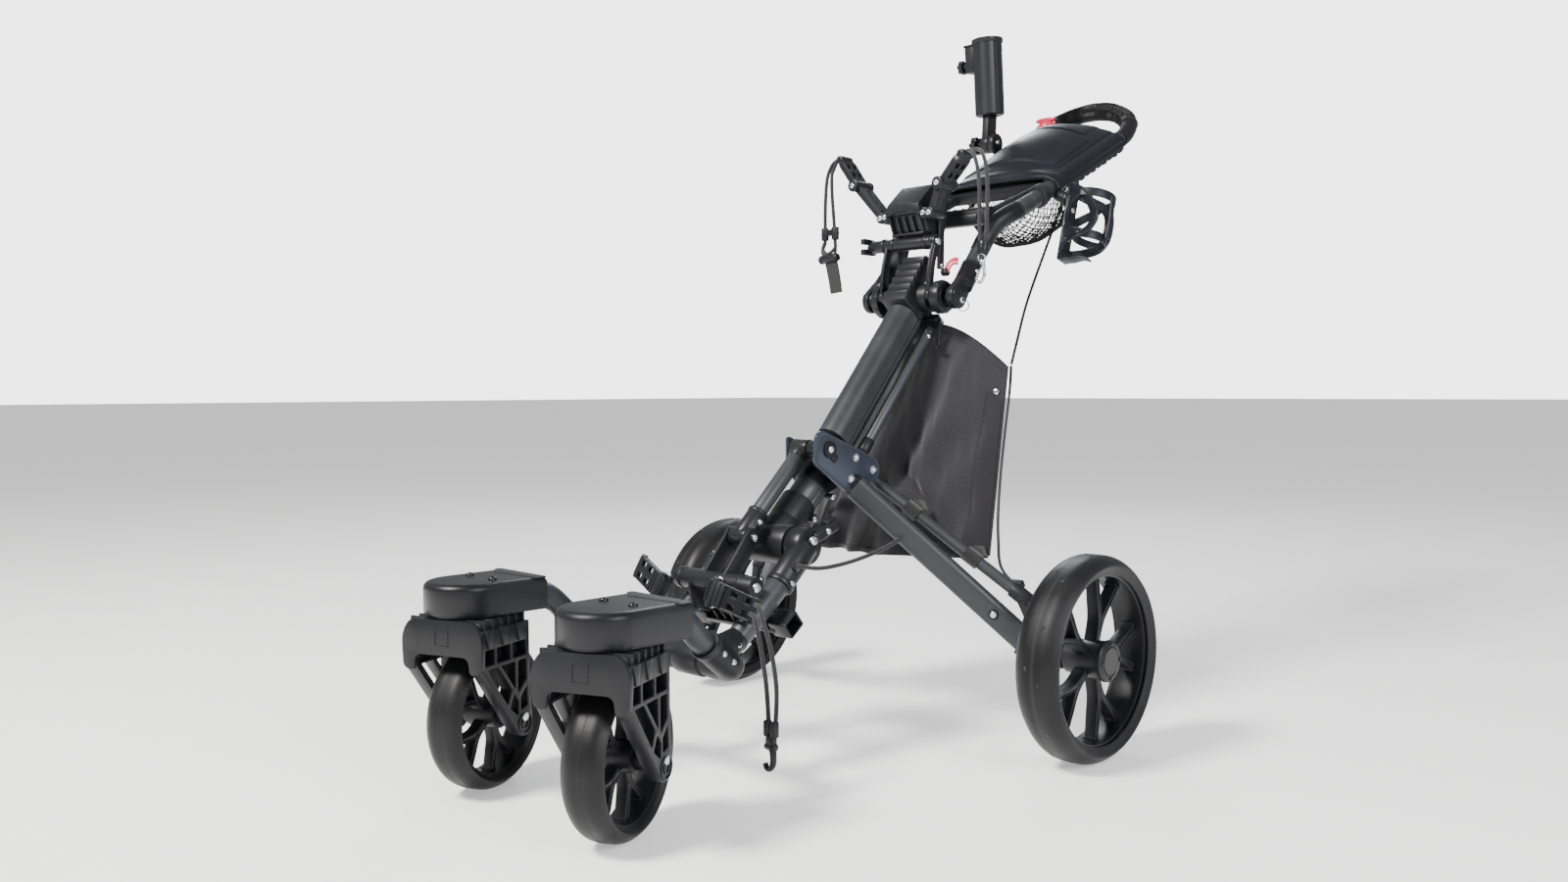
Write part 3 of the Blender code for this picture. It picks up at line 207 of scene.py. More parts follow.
def noise_node(tree, place, scale, detail, stretch=None):
    if stretch:
        mapping = tree.nodes.new("ShaderNodeMapping")
        mapping.inputs["Scale"].default_value = stretch
        tree.links.new(place, mapping.inputs["Vector"])
        place = mapping.outputs["Vector"]
    node = tree.nodes.new("ShaderNodeTexNoise")
    node.inputs["Scale"].default_value = scale
    node.inputs["Detail"].default_value = detail
    tree.links.new(place, node.inputs["Vector"])
    return node.outputs["Fac"]


def wave_node(tree, place, scale, direction, distortion=0.0):
    node = tree.nodes.new("ShaderNodeTexWave")
    node.bands_direction = direction
    node.inputs["Scale"].default_value = scale
    node.inputs["Distortion"].default_value = distortion
    tree.links.new(place, node.inputs["Vector"])
    return node.outputs["Fac"]


def range_node(tree, value, low, high, to_low, to_high):
    node = tree.nodes.new("ShaderNodeMapRange")
    tree.links.new(value, node.inputs[0])
    for socket, number in zip(node.inputs[1:5], (low, high, to_low, to_high)):
        socket.default_value = number
    return node.outputs[0]


def mix_node(tree, share, low, high):
    node = tree.nodes.new("ShaderNodeMix")
    node.data_type = "RGBA"
    tree.links.new(range_node(tree, share, 0.3, 0.7, 0.0, 1.0), node.inputs[0])
    node.inputs[6].default_value = (*low, 1.0)
    node.inputs[7].default_value = (*high, 1.0)
    return node.outputs[2]


def math_node(tree, operation, a, b):
    node = tree.nodes.new("ShaderNodeMath")
    node.operation = operation
    for socket, value in zip(node.inputs, (a, b)):
        if isinstance(value, float):
            socket.default_value = value
        else:
            tree.links.new(value, socket)
    return node.outputs[0]


def bump_node(tree, height, strength, distance, shader):
    node = tree.nodes.new("ShaderNodeBump")
    node.inputs["Strength"].default_value = strength
    node.inputs["Distance"].default_value = distance
    tree.links.new(height, node.inputs["Height"])
    tree.links.new(node.outputs[0], shader.inputs["Normal"])


def woven(name, dark, light, threads, roughness=0.85, speckle=900.0, strength=0.6, braid=False):
    """Cloth or braid: crossed threads drawn on the piece's own UVs, in metres."""
    made = bpy.data.materials.new(name)
    made.use_nodes = True
    tree = made.node_tree
    shader = tree.nodes["Principled BSDF"]
    shader.inputs["Roughness"].default_value = roughness
    shader.inputs["Sheen Weight"].default_value = 0.25
    shader.inputs["Sheen Roughness"].default_value = 0.5
    shader.inputs["Specular IOR Level"].default_value = 0.2
    place = tree.nodes.new("ShaderNodeTexCoord").outputs["UV"]
    if braid:
        across = wave_node(tree, place, threads, "DIAGONAL")
        mirrored_place = tree.nodes.new("ShaderNodeMapping")
        mirrored_place.inputs["Scale"].default_value = (-1.0, 1.0, 1.0)
        tree.links.new(place, mirrored_place.inputs["Vector"])
        along = wave_node(tree, mirrored_place.outputs[0], threads, "DIAGONAL")
    else:
        across = wave_node(tree, place, threads, "X", 0.4)
        along = wave_node(tree, place, threads, "Y", 0.4)
    weave = math_node(tree, "MULTIPLY", across, along)
    heather = noise_node(tree, place, speckle, 3.0, (1.0, 0.35, 1.0))
    share = math_node(tree, "ADD", math_node(tree, "MULTIPLY", weave, 0.25), heather)
    tree.links.new(mix_node(tree, share, dark, light), shader.inputs["Base Color"])
    bump_node(tree, weave, strength, 0.0003, shader)
    return made


TUBE = look("tube_charcoal", (0.029, 0.031, 0.036), 0.40, 0.35, 0.10, 1400.0, 0.10, worn=0.25,
            gloss=0.4)
PLATE = look("plate_satin", (0.026, 0.034, 0.050), 0.26, 0.45, 0.22, 1000.0, 0.03, worn=0.3)
PLASTIC = look("plastic_black", (0.0030, 0.0033, 0.0045), 0.34, 0.0, 0.25, 1100.0, 0.22,
               worn=0.35, gloss=0.22)
CASTING = look("plastic_grained", (0.0032, 0.0035, 0.0048), 0.37, 0.0, 0.3, 800.0, 0.35,
               worn=0.4, gloss=0.24)
HOOD = look("console_moulding", (0.0042, 0.0056, 0.0098), 0.42, 0.0, 0.2, 1300.0, 0.12,
            worn=0.2, gloss=0.22)
TYRE = look("tyre_foam", (0.0060, 0.0062, 0.0072), 0.46, 0.0, 0.35, 420.0, 0.25, worn=0.3,
            patches=22.0, gloss=0.22)
GRIP = look("grip_rubber", (0.0045, 0.0045, 0.0055), 0.50, 0.0, 0.2, 900.0, 0.3, gloss=0.3)
RED = look("plastic_red", (0.50, 0.016, 0.055), 0.32, 0.0, 0.12, 700.0, 0.08, coat=0.3)
STEEL = look("plated_steel", (0.60, 0.62, 0.65), 0.24, 1.0, 0.12, 1500.0, 0.05)
DARK_STEEL = look("dark_screw", (0.03, 0.032, 0.036), 0.3, 0.9, 0.15, 1500.0, 0.05)
CLOTH = woven("apron_cloth", (0.0035, 0.0035, 0.0048), (0.022, 0.021, 0.025), 420.0)
HEM = woven("apron_hem", (0.003, 0.003, 0.004), (0.014, 0.013, 0.016), 420.0)
VELCRO = woven("hook_and_loop", (0.003, 0.003, 0.004), (0.018, 0.018, 0.018), 260.0, 0.95, 700.0,
               1.0)
ELASTIC = woven("elastic_cord", (0.003, 0.003, 0.004), (0.018, 0.018, 0.021), 300.0, 0.7, 600.0,
                0.9, braid=True)
CABLE = look("cable_sheath", (0.006, 0.006, 0.007), 0.45, 0.0, 0.2, 900.0, 0.05, gloss=0.3)
NETTING = look("net_cord", (0.006, 0.006, 0.007), 0.75, 0.0, 0.2, 900.0, 0.2, gloss=0.2)

# ---------------------------------------------------------------- shapes


def new_shape():
    shape = bmesh.new()
    shape.loops.layers.uv.new("UVMap")
    return shape


def axes_matrix(origin, along, across=(1, 0, 0)):
    """Local z lies along the first direction and local x near the second."""
    z_axis = Vector(along).normalized()
    x_axis = Vector(across) - Vector(across).dot(z_axis) * z_axis
    x_axis.normalize()
    rotation = Matrix((x_axis, z_axis.cross(x_axis), z_axis)).transposed()
    return Matrix.Translation(origin) @ rotation.to_4x4()


def side_view(x=0.0):
    """Carries a flat drawing (y, z) into the layout, with its thickness along X."""
    return Matrix.Translation((x, 0.0, 0.0)) @ Matrix(
        ((0, 0, 1, 0), (1, 0, 0, 0), (0, 1, 0, 0), (0, 0, 0, 1))
    )


UPRIGHT = Matrix.Rotation(math.radians(90), 4, "X")  # stands a flat drawing on its edge
ONTO_X = Matrix.Rotation(math.radians(90), 4, "Y")  # lays local z along X


def front_view(y=0.0):
    """Carries a flat drawing (x, z) into the layout, with its thickness along Y."""
    return Matrix.Translation((0.0, y, 0.0)) @ UPRIGHT


def arc(centre, radius, start, end, count):
    """Points on an arc, its angles in degrees."""
    angles = [math.radians(start + (end - start) * i / (count - 1)) for i in range(count)]
    return [(centre[0] + radius * math.cos(a), centre[1] + radius * math.sin(a)) for a in angles]


def circle(radius, count=16):
    angles = [math.tau * i / count for i in range(count)]
    return [(radius * math.cos(a), radius * math.sin(a)) for a in angles]


def rect(half_u, half_v):
    """A rectangle's four corners, by its half sizes."""
    return [(-half_u, -half_v), (half_u, -half_v), (half_u, half_v), (-half_u, half_v)]


def oval(width, depth, count=10):
    """A stadium outline, width along u and depth along v."""
    radius = min(width, depth) / 2
    if depth >= width:
        reach = depth / 2 - radius
        return arc((0, reach), radius, 0, 180, count) + arc((0, -reach), radius, 180, 360, count)
    reach = width / 2 - radius
    return arc((reach, 0), radius, -90, 90, count) + arc((-reach, 0), radius, 90, 270, count)


def rounded(outline, radius, count=4):
    """The outline with each corner turned into an arc of about that radius."""
    made = []
    total = len(outline)
    for i, corner in enumerate(outline):
        before, here, after = (
            Vector(outline[i - 1]), Vector(corner), Vector(outline[(i + 1) % total]))
        to_before, to_after = before - here, after - here
        reach = min(radius, 0.45 * to_before.length, 0.45 * to_after.length)
        start = here + reach * to_before.normalized()
        end = here + reach * to_after.normalized()
        for j in range(count + 1):
            t = j / count
            made.append(tuple((1 - t) ** 2 * start + 2 * t * (1 - t) * here + t * t * end))
    return made


SOFTENED_ANGLE = math.radians(30.0)
SMOOTH_ANGLE = math.radians(38.0)


def soften(shape, width, segments=2):
    """Rounds the edges sharper than SOFTENED_ANGLE."""
    if width <= 0:
        return shape
    sharp = [
        edge for edge in shape.edges
        if len(edge.link_faces) == 2 and edge.calc_face_angle(0.0) > SOFTENED_ANGLE
    ]
    bmesh.ops.bevel(
        shape, geom=sharp, offset=width, segments=segments, affect="EDGES",
        profile=0.5, clamp_overlap=True,
    )
    return shape


def moved(shape, place):
    """The shape itself, carried by the place's matrix."""
    bmesh.ops.transform(shape, matrix=place, verts=shape.verts)
    return shape


def box(size, place, bevel=0.0012, segments=2):
    shape = new_shape()
    bmesh.ops.create_cube(shape, size=1.0)
    bmesh.ops.scale(shape, vec=size, verts=shape.verts)
    soften(shape, bevel, segments)
    return moved(shape, place)


def block(centre, size, tilt=0.0, bevel=0.0012, segments=2):
    return box(size, Matrix.Translation(centre) @ Matrix.Rotation(tilt, 4, "X"), bevel, segments)


def flat(outline, thickness, place, holes=(), bevel=0.0008, segments=2):
    """A flat outline, with holes, extruded evenly about its own plane."""
    shape = new_shape()
    edges = []
    for loop in (outline, *holes):
        ring = [shape.verts.new((u, v, -thickness / 2)) for u, v in loop]
        edges += [shape.edges.new((a, b)) for a, b in zip(ring, ring[1:] + ring[:1])]
    bmesh.ops.triangle_fill(shape, use_beauty=True, use_dissolve=False, edges=edges)
    grown = bmesh.ops.extrude_face_region(shape, geom=shape.faces[:])["geom"]
    tops = [item for item in grown if isinstance(item, bmesh.types.BMVert)]
    bmesh.ops.translate(shape, vec=(0, 0, thickness), verts=tops)
    bmesh.ops.recalc_face_normals(shape, faces=shape.faces)
    soften(shape, bevel, segments)
    return moved(shape, place)


def lofted(rings):
    """A closed body through rings of points, capped at both ends."""
    shape = new_shape()
    loops = [[shape.verts.new(point) for point in ring] for ring in rings]
    count = len(rings[0])
    for low, high in zip(loops, loops[1:]):
        for i in range(count):
            j = (i + 1) % count
            shape.faces.new((low[i], low[j], high[j], high[i]))
    shape.faces.new(loops[0][::-1])
    shape.faces.new(loops[-1])
    return shape


def bar(start, end, outline, across=(1, 0, 0), bevel=0.0008):
    """An outline drawn out into a straight bar, its u axis near the across direction."""
    start, end = Vector(start), Vector(end)
    place = axes_matrix((start + end) / 2, end - start, across)
    return flat(outline, (end - start).length, place, bevel=bevel)


def smooth_route(points, steps=6):
    """Points on a smooth curve through the given ones (Catmull-Rom)."""
    ends = [2 * Vector(points[0]) - Vector(points[1]), *map(Vector, points)]
    ends.append(2 * ends[-1] - ends[-2])
    route = []
    for a, b, c, d in zip(ends, ends[1:], ends[2:], ends[3:]):
        for step in range(steps):
            t = step / steps
            route.append(
                0.5 * (2 * b + (c - a) * t + (2 * a - 5 * b + 4 * c - d) * t**2
                       + (3 * b - a - 3 * c + d) * t**3)
            )
    route.append(Vector(points[-1]))
    return route


def sweep(route, section, across=(1, 0, 0), size=None):
    """A section carried along a route, its frame kept from twisting; size(t) scales it."""
    route = [Vector(p) for p in route]
    shape = new_shape()
    uv = shape.loops.layers.uv["UVMap"]
    tangents = [
        (route[min(i + 1, len(route) - 1)] - route[max(i - 1, 0)]).normalized()
        for i in range(len(route))
    ]
    side = Vector(across) - Vector(across).dot(tangents[0]) * tangents[0]
    side.normalize()
    rings, runs, run = [], [], 0.0
    for i, (point, tangent) in enumerate(zip(route, tangents)):
        if i:
            side = tangents[i - 1].rotation_difference(tangent) @ side
            run += (point - route[i - 1]).length
        other = tangent.cross(side)
        scale = size(i / (len(route) - 1)) if size else 1.0
        rings.append([
            shape.verts.new(point + scale * (u * side + v * other)) for u, v in section
        ])
        runs.append(run)
    total = len(section)
    rim = [0.0]
    for j in range(total):
        here, after = Vector(section[j]), Vector(section[(j + 1) % total])
        rim.append(rim[-1] + (after - here).length)
    for i in range(len(rings) - 1):
        for j in range(total):
            k = (j + 1) % total
            face = shape.faces.new((rings[i][j], rings[i][k], rings[i + 1][k], rings[i + 1][j]))
            corners = (
                (rim[j], runs[i]), (rim[j + 1], runs[i]),
                (rim[j + 1], runs[i + 1]), (rim[j], runs[i + 1]),
            )
            for loop, corner in zip(face.loops, corners):
                loop[uv].uv = corner
    shape.faces.new(list(reversed(rings[0])))
    shape.faces.new(rings[-1])
    return shape


def tube(points, radius, steps=6, count=20, size=None):
    """A round tube bent through the given points."""
    route = smooth_route(points, steps) if steps > 1 else [Vector(p) for p in points]
    return sweep(route, circle(radius, count), size=size)


def turned(profile, place, steps=64, closed=True):
    """A profile of (radius, height) pairs turned about the place's z axis."""
    shape = new_shape()
    rings = []
    for radius, height in profile:
        if radius < 1e-6:
            rings.append([shape.verts.new((0.0, 0.0, height))])
        else:
            rings.append([
                shape.verts.new((
                    radius * math.cos(math.tau * i / steps),
                    radius * math.sin(math.tau * i / steps), height))
                for i in range(steps)
            ])
    pairs = list(zip(rings, rings[1:]))
    if closed:
        pairs.append((rings[-1], rings[0]))
    for upper, lower in pairs:
        for i in range(steps):
            k = (i + 1) % steps
            corners = [upper[i % len(upper)], lower[i % len(lower)],
                       lower[k % len(lower)], upper[k % len(upper)]]
            unique = list(dict.fromkeys(corners))
            if len(unique) > 2:
                shape.faces.new(unique)
    bmesh.ops.recalc_face_normals(shape, faces=shape.faces)
    return moved(shape, place)


def torus(radius, thickness, place, steps):
    """A ring of round wire about the place's z axis."""
    return turned([(radius + u, v) for u, v in circle(thickness, 8)], place, steps)


def rod(start, end, radius, end_radius=None, sides=32, bevel=0.0012):
    """A round bar, a little rounded at its ends."""
    start, end = Vector(start), Vector(end)
    along = end - start
    across = (1, 0, 0) if abs(along.x) < 0.9 * along.length else (0, 1, 0)
    far = radius if end_radius is None else end_radius
    lip = min(bevel, 0.4 * along.length, 0.5 * radius, 0.5 * far)
    high = along.length
    profile = [
        (0.0, 0.0), (radius - lip, 0.0), (radius - 0.3 * lip, 0.3 * lip), (radius, lip),
        (far, high - lip), (far - 0.3 * lip, high - 0.3 * lip), (far - lip, high), (0.0, high),
    ]
    return turned(profile, axes_matrix(start, along, across), sides, closed=False)


def cross_rod(x0, x1, point, radius, sides=32, bevel=0.0012):
    """A round bar along X at a (y, z) of the side view."""
    return rod((x0, *point), (x1, *point), radius, sides=sides, bevel=bevel)


def ball(centre, radius):
    shape = new_shape()
    bmesh.ops.create_uvsphere(shape, u_segments=28, v_segments=16, radius=radius)
    return moved(shape, Matrix.Translation(centre))


def bolt(place, along, radius=0.0050, height=0.0028):
    """A dome head with a hexagon socket."""
    profile = [
        (0.0, 0.35 * height), (0.42 * radius, 0.35 * height), (0.46 * radius, height),
        (0.62 * radius, 0.98 * height), (0.86 * radius, 0.75 * height),
        (radius, 0.30 * height), (radius, -0.5 * height), (0.0, -0.5 * height),
    ]
    across = (1, 0, 0) if abs(Vector(along).normalized().x) < 0.9 else (0, 1, 0)
    return turned(profile, axes_matrix(place, along, across), 18, closed=False)


def surface(point, columns, rows, thickness, size=(1.0, 1.0)):
    """A sheet over point(u, v), u and v from 0 to 1, with UVs of a size in metres."""
    shape = new_shape()
    uv = shape.loops.layers.uv["UVMap"]
    count = columns + 1
    step = 1e-3

    def layer(offset):
        grid = []
        for j in range(rows + 1):
            line = []
            for i in range(count):
                u, v = i / columns, j / rows
                here = Vector(point(u, v))
                du = Vector(point(min(1, u + step), v)) - Vector(point(max(0, u - step), v))
                dv = Vector(point(u, min(1, v + step))) - Vector(point(u, max(0, v - step)))
                line.append(shape.verts.new(here + offset * du.cross(dv).normalized()))
            grid.append(line)
        return grid

    front, back = layer(thickness / 2), layer(-thickness / 2)
    for grid, flip in ((front, False), (back, True)):
        for j in range(rows):
            for i in range(columns):
                corners = [(grid[b][a], a, b)
                           for a, b in ((i, j), (i + 1, j), (i + 1, j + 1), (i, j + 1))]
                if flip:
                    corners.reverse()
                face = shape.faces.new([c[0] for c in corners])
                for loop, (_, a, b) in zip(face.loops, corners):
                    loop[uv].uv = (size[0] * a / columns, size[1] * b / rows)
    rims = [[(j, i) for i in range(count)] for j in (0, rows)]
    rims += [[(j, i) for j in range(rows + 1)] for i in (0, columns)]
    for rim in rims:
        for (a, b), (c, d) in zip(rim, rim[1:]):
            shape.faces.new((front[a][b], front[c][d], back[c][d], back[a][b]))
    bmesh.ops.recalc_face_normals(shape, faces=shape.faces)
    return shape


def piece(name, body, parts, stands_for=()):
    """One visible piece: (material, shape, ...) rows joined in one mesh, riding on a body."""
    whole = new_shape()
    mesh = bpy.data.meshes.new(name)
    for index, (material, *shapes) in enumerate(parts):
        mesh.materials.append(material)
        for shape in shapes:
            for face in shape.faces:
                face.material_index = index
                face.smooth = True
            part = bpy.data.meshes.new("part")
            shape.to_mesh(part)
            shape.free()
            whole.from_mesh(part)
            bpy.data.meshes.remove(part)
    moved(whole, LAYOUT)
    whole.to_mesh(mesh)
    whole.free()
    mesh.set_sharp_from_angle(angle=SMOOTH_ANGLE)
    made = bpy.data.objects.new(name, mesh)
    bpy.context.scene.collection.objects.link(made)
    if body:
        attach(made, body)
    if stands_for:
        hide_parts(*stands_for)
    return made


def finish_node(node, slot, *parts, body=True):
    """The visible piece that stands for one node of the frame."""
    return piece(f"{node}_shown", BODY_OF[node] if body else None, parts, [node])


def mirrored(point, side):
    """The point on the right, or its mirror image on the left where side is -1."""
    return Vector((point[0] * side, point[1], point[2]))


def world(point):
    """A layout point in the frame."""
    return LAYOUT @ Vector(point)


# ---------------------------------------------------------------- cords

BUNGEE_LEFT = [
    (-0.1440, 0.0660, 0.9110), (-0.1530, 0.0600, 0.9110), (-0.1600, 0.0480, 0.9010),
    (-0.1630, 0.0380, 0.8800), (-0.1620, 0.0320, 0.8500), (-0.1610, 0.0290, 0.8100),
    (-0.1600, 0.0280, 0.7700), (-0.1640, 0.0270, 0.7560), (-0.1520, 0.0250, 0.7475),
    (-0.1370, 0.0260, 0.7560), (-0.1370, 0.0270, 0.7700), (-0.1420, 0.0290, 0.8100),
    (-0.1500, 0.0340, 0.8500), (-0.1545, 0.0390, 0.8800), (-0.1530, 0.0430, 0.8920),
    (-0.1485, 0.0440, 0.9020), (-0.1416, 0.0420, 0.9090),
]
BUNGEE_RIGHT = [
    (0.1130, 0.0520, 0.8870), (0.1220, 0.0480, 0.8860), (0.1350, 0.0400, 0.8760),
    (0.1480, 0.0310, 0.8530), (0.1580, 0.0220, 0.8180), (0.1650, 0.0120, 0.7700),
    (0.1710, 0.0060, 0.7350), (0.1725, 0.0040, 0.7200), (0.1775, 0.0000, 0.7135),
    (0.1825, 0.0040, 0.7200), (0.1805, 0.0080, 0.7350), (0.1760, 0.0150, 0.7700),
    (0.1690, 0.0270, 0.8190), (0.1590, 0.0380, 0.8540), (0.1430, 0.0500, 0.8800),
    (0.1260, 0.0610, 0.8890), (0.1140, 0.0640, 0.8900),
]
BUNGEE_LOWER = [
    (0.1140, -0.4100, 0.2430), (0.1240, -0.4120, 0.2400), (0.1370, -0.4180, 0.2250),
    (0.1560, -0.4240, 0.1950), (0.1720, -0.4300, 0.1500), (0.1760, -0.4350, 0.1080),
    (0.1760, -0.4380, 0.0900), (0.1730, -0.4390, 0.0790), (0.1670, -0.4390, 0.0900),
    (0.1640, -0.4360, 0.1080), (0.1560, -0.4320, 0.1500), (0.1410, -0.4270, 0.1950),
    (0.1280, -0.4220, 0.2200), (0.1190, -0.4170, 0.2290), (0.1100, -0.4150, 0.2310),
]
STAY_CORD = [
    (0.0885, -0.3060, 0.2800), (0.0910, -0.2600, 0.2720), (0.1000, -0.2100, 0.2760),
    (0.1120, -0.1600, 0.2880), (0.1230, -0.1240, 0.3030),
]
BRAKE_CABLE_UPPER = [
    (0.0960, 0.3600, 0.8720), (0.0965, 0.3500, 0.8400), (0.0985, 0.3250, 0.8000),
    (0.1060, 0.2780, 0.7420), (0.1270, 0.1980, 0.6600), (0.1400, 0.1500, 0.5950),
    (0.1470, 0.1250, 0.5600),
]
BRAKE_CABLE_LOWER = [
    (0.1480, 0.1225, 0.5560), (0.1620, 0.0980, 0.5200), (0.1730, 0.0700, 0.4600),
    (0.1840, 0.0430, 0.4000), (0.1950, 0.0200, 0.3400), (0.2050, 0.0060, 0.2950),
    (0.2150, -0.0010, 0.2580), (0.2450, -0.0040, 0.2320), (0.2640, -0.0060, 0.2150),
]
BUNGEE_RADIUS = 0.0030
STAY_RADIUS = 0.0030
CABLE_RADIUS = 0.0022


def cord(node, slot, points, radius, material, body=True, size=None):
    """A cord's tube along its route, which it stores on the piece; declare() deletes that route
    again once its pieces exist.
    """
    route = smooth_route(points, 8)
    made = finish_node(
        node, slot, (material, sweep(route, circle(radius, 12), size=size)), body=body)
    made["route"] = [c for point in route for c in world(point)]
    return made


def declare(made, with_pieces=()):
    del made["route"]


def cords():
    """The bungees, the stay and the two runs of the brake cable."""
    left = cord("bungee_left", "cord", BUNGEE_LEFT, BUNGEE_RADIUS, ELASTIC)
    right = cord("bungee_right", "cord", BUNGEE_RIGHT, BUNGEE_RADIUS, ELASTIC)
    lower = cord("bungee_lower", "cord", BUNGEE_LOWER, BUNGEE_RADIUS, ELASTIC)
    stay = cord(
        "stay_cord", "cord", STAY_CORD, STAY_RADIUS, ELASTIC,
        size=lambda t: 1.0 + 0.25 * max(0.0, t - 0.7),
    )
    upper = cord("brake_cable_upper", "cord", BRAKE_CABLE_UPPER, CABLE_RADIUS, CABLE, body=False)
    leg = cord("brake_cable_lower", "cord", BRAKE_CABLE_LOWER, CABLE_RADIUS, CABLE, body=False)
    declare(left, [left_clip()])
    declare(right, [right_hook()])
    declare(lower, [lower_hook()])
    declare(stay)
    declare(upper)
    declare(leg)
    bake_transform(upper)
    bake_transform(leg)


def left_clip():
    """The H-shaped clip with its two sleeves, the ring, the toggle and its hook-and-loop strap."""
    y = 0.0275
    plastic = []
    for x in (-0.1600, -0.1370):
        plastic.append(rod((x, y, 0.7705), (x, y, 0.7915), 0.0062, sides=24, bevel=0.001))
        plastic.append(rod((x, y, 0.7800), (x, y, 0.7830), 0.0068, sides=24, bevel=0.0005))
    plastic.append(flat(
        rounded([(-0.157, 0.7755), (-0.157, 0.7905), (-0.151, 0.7875), (-0.146, 0.7875),
                 (-0.140, 0.7905), (-0.140, 0.7755), (-0.1485, 0.7790)], 0.002),
        0.0060, front_view(y), bevel=0.001))
    ring = [
        (-0.1600, y, 0.7690), (-0.1655, y, 0.7600), (-0.1650, y, 0.7480), (-0.1500, y, 0.7450),
        (-0.1375, y, 0.7480), (-0.1365, y, 0.7600), (-0.1370, y, 0.7690),
    ]
    toggle = [
        rod((-0.1712, y, 0.7385), (-0.1308, y, 0.7415), 0.0066, sides=24, bevel=0.002),
        rod((-0.1690, y, 0.7386), (-0.1645, y, 0.7390), 0.0074, sides=24, bevel=0.001),
        rod((-0.1380, y, 0.7410), (-0.1335, y, 0.7413), 0.0074, sides=24, bevel=0.001),
    ]
    corners = [Vector(p) for p in (
        (-0.1620, 0.7375), (-0.1360, 0.7385), (-0.1240, 0.6830), (-0.1480, 0.6810))]

    def strap(u, v):
        at = corners[0].lerp(corners[1], u).lerp(corners[3].lerp(corners[2], u), v)
        sway = 0.0015 * math.sin(3.0 * v + 0.5) - 0.0012 * (1 - v)
        return Vector((at.x, 0.0295 + sway, at.y))

    return finish_node(
        "bungee_left_clip", "black_plastic",
        (PLASTIC, *plastic, *toggle), (ELASTIC, tube(ring, 0.0023, 5, 10)),
        (VELCRO, surface(strap, 10, 20, 0.0032, (0.026, 0.055))),
    )


def right_hook():
    """The bright snap hook under its ferrule, with a ring between them."""
    hook = [
        (0.1778, 0.0010, 0.7130), (0.1805, 0.0000, 0.7050), (0.1838, -0.0010, 0.6960),
        (0.1832, -0.0018, 0.6860), (0.1780, -0.0020, 0.6785), (0.1715, -0.0018, 0.6800),
        (0.1690, -0.0015, 0.6860),
    ]
    ferrule = [
        rod((0.1775, 0.0058, 0.7390), (0.1775, 0.0022, 0.7195), 0.0092, 0.0080, 28, 0.002),
        rod((0.1775, 0.0050, 0.7345), (0.1775, 0.0045, 0.7320), 0.0098, sides=28, bevel=0.0008),
    ]
    ring = torus(0.0058, 0.0014, axes_matrix((0.1775, 0.0005, 0.7150), (0, 1, 0.2)), 24)
    gate = rod((0.1800, 0.0002, 0.7040), (0.1702, -0.0014, 0.6880), 0.0013, sides=12, bevel=0.0004)
    swivel = rod((0.1776, 0.0012, 0.7110), (0.1786, 0.0006, 0.7060), 0.0042, sides=20, bevel=0.001)
    return finish_node(
        "bungee_right_hook", "steel",
        (STEEL, tube(hook, 0.0025, 5, 12, lambda t: 1.15 - 0.35 * t), ring, gate, swivel),
        (PLASTIC, *ferrule),
    )


def lower_hook():
    """The two-sleeve clip at the end of the lower bungee and the hook that hangs from it."""
    sleeves = []
    for x in (0.1640, 0.1762):
        sleeves.append(rod((x, -0.4375, 0.0870), (x, -0.4375, 0.1060), 0.0056, sides=22))
    web = flat(
        rounded([(0.1640, 0.0890), (0.1640, 0.1010), (0.1700, 0.0985), (0.1762, 0.1010),
                 (0.1762, 0.0890), (0.1700, 0.0915)], 0.002), 0.0055, front_view(-0.4375))
    yoke = box((0.0145, 0.0080, 0.0190),
               Matrix.Translation((0.1715, -0.4388, 0.0795)), 0.002)
    collar = cross_rod(0.1628, 0.1802, (-0.4388, 0.0745), 0.0050, 20)
    hook = [
        (0.1722, -0.4390, 0.0760), (0.1752, -0.4390, 0.0650), (0.1748, -0.4390, 0.0530),
        (0.1700, -0.4390, 0.0458), (0.1640, -0.4390, 0.0462), (0.1608, -0.4390, 0.0520),
    ]
    blade = sweep(smooth_route(hook, 5), oval(0.0068, 0.0100, 6), across=(1, 0, 0),
                  size=lambda t: 1.05 - 0.30 * t)
    return finish_node(
        "bungee_lower_hook", "black_plastic", (PLASTIC, *sleeves, web, yoke, collar, blade))


# ---------------------------------------------------------------- wheels


def wheel_place(x, y, z):
    """A wheel's frame: local z along its axle."""
    return Matrix.Translation((x, y, z)) @ ONTO_X


def polar(radius, angle, height):
    """A point at an angle, in radians, round local z."""
    return Vector((radius * math.cos(angle), radius * math.sin(angle), height))


SPOKES = 5


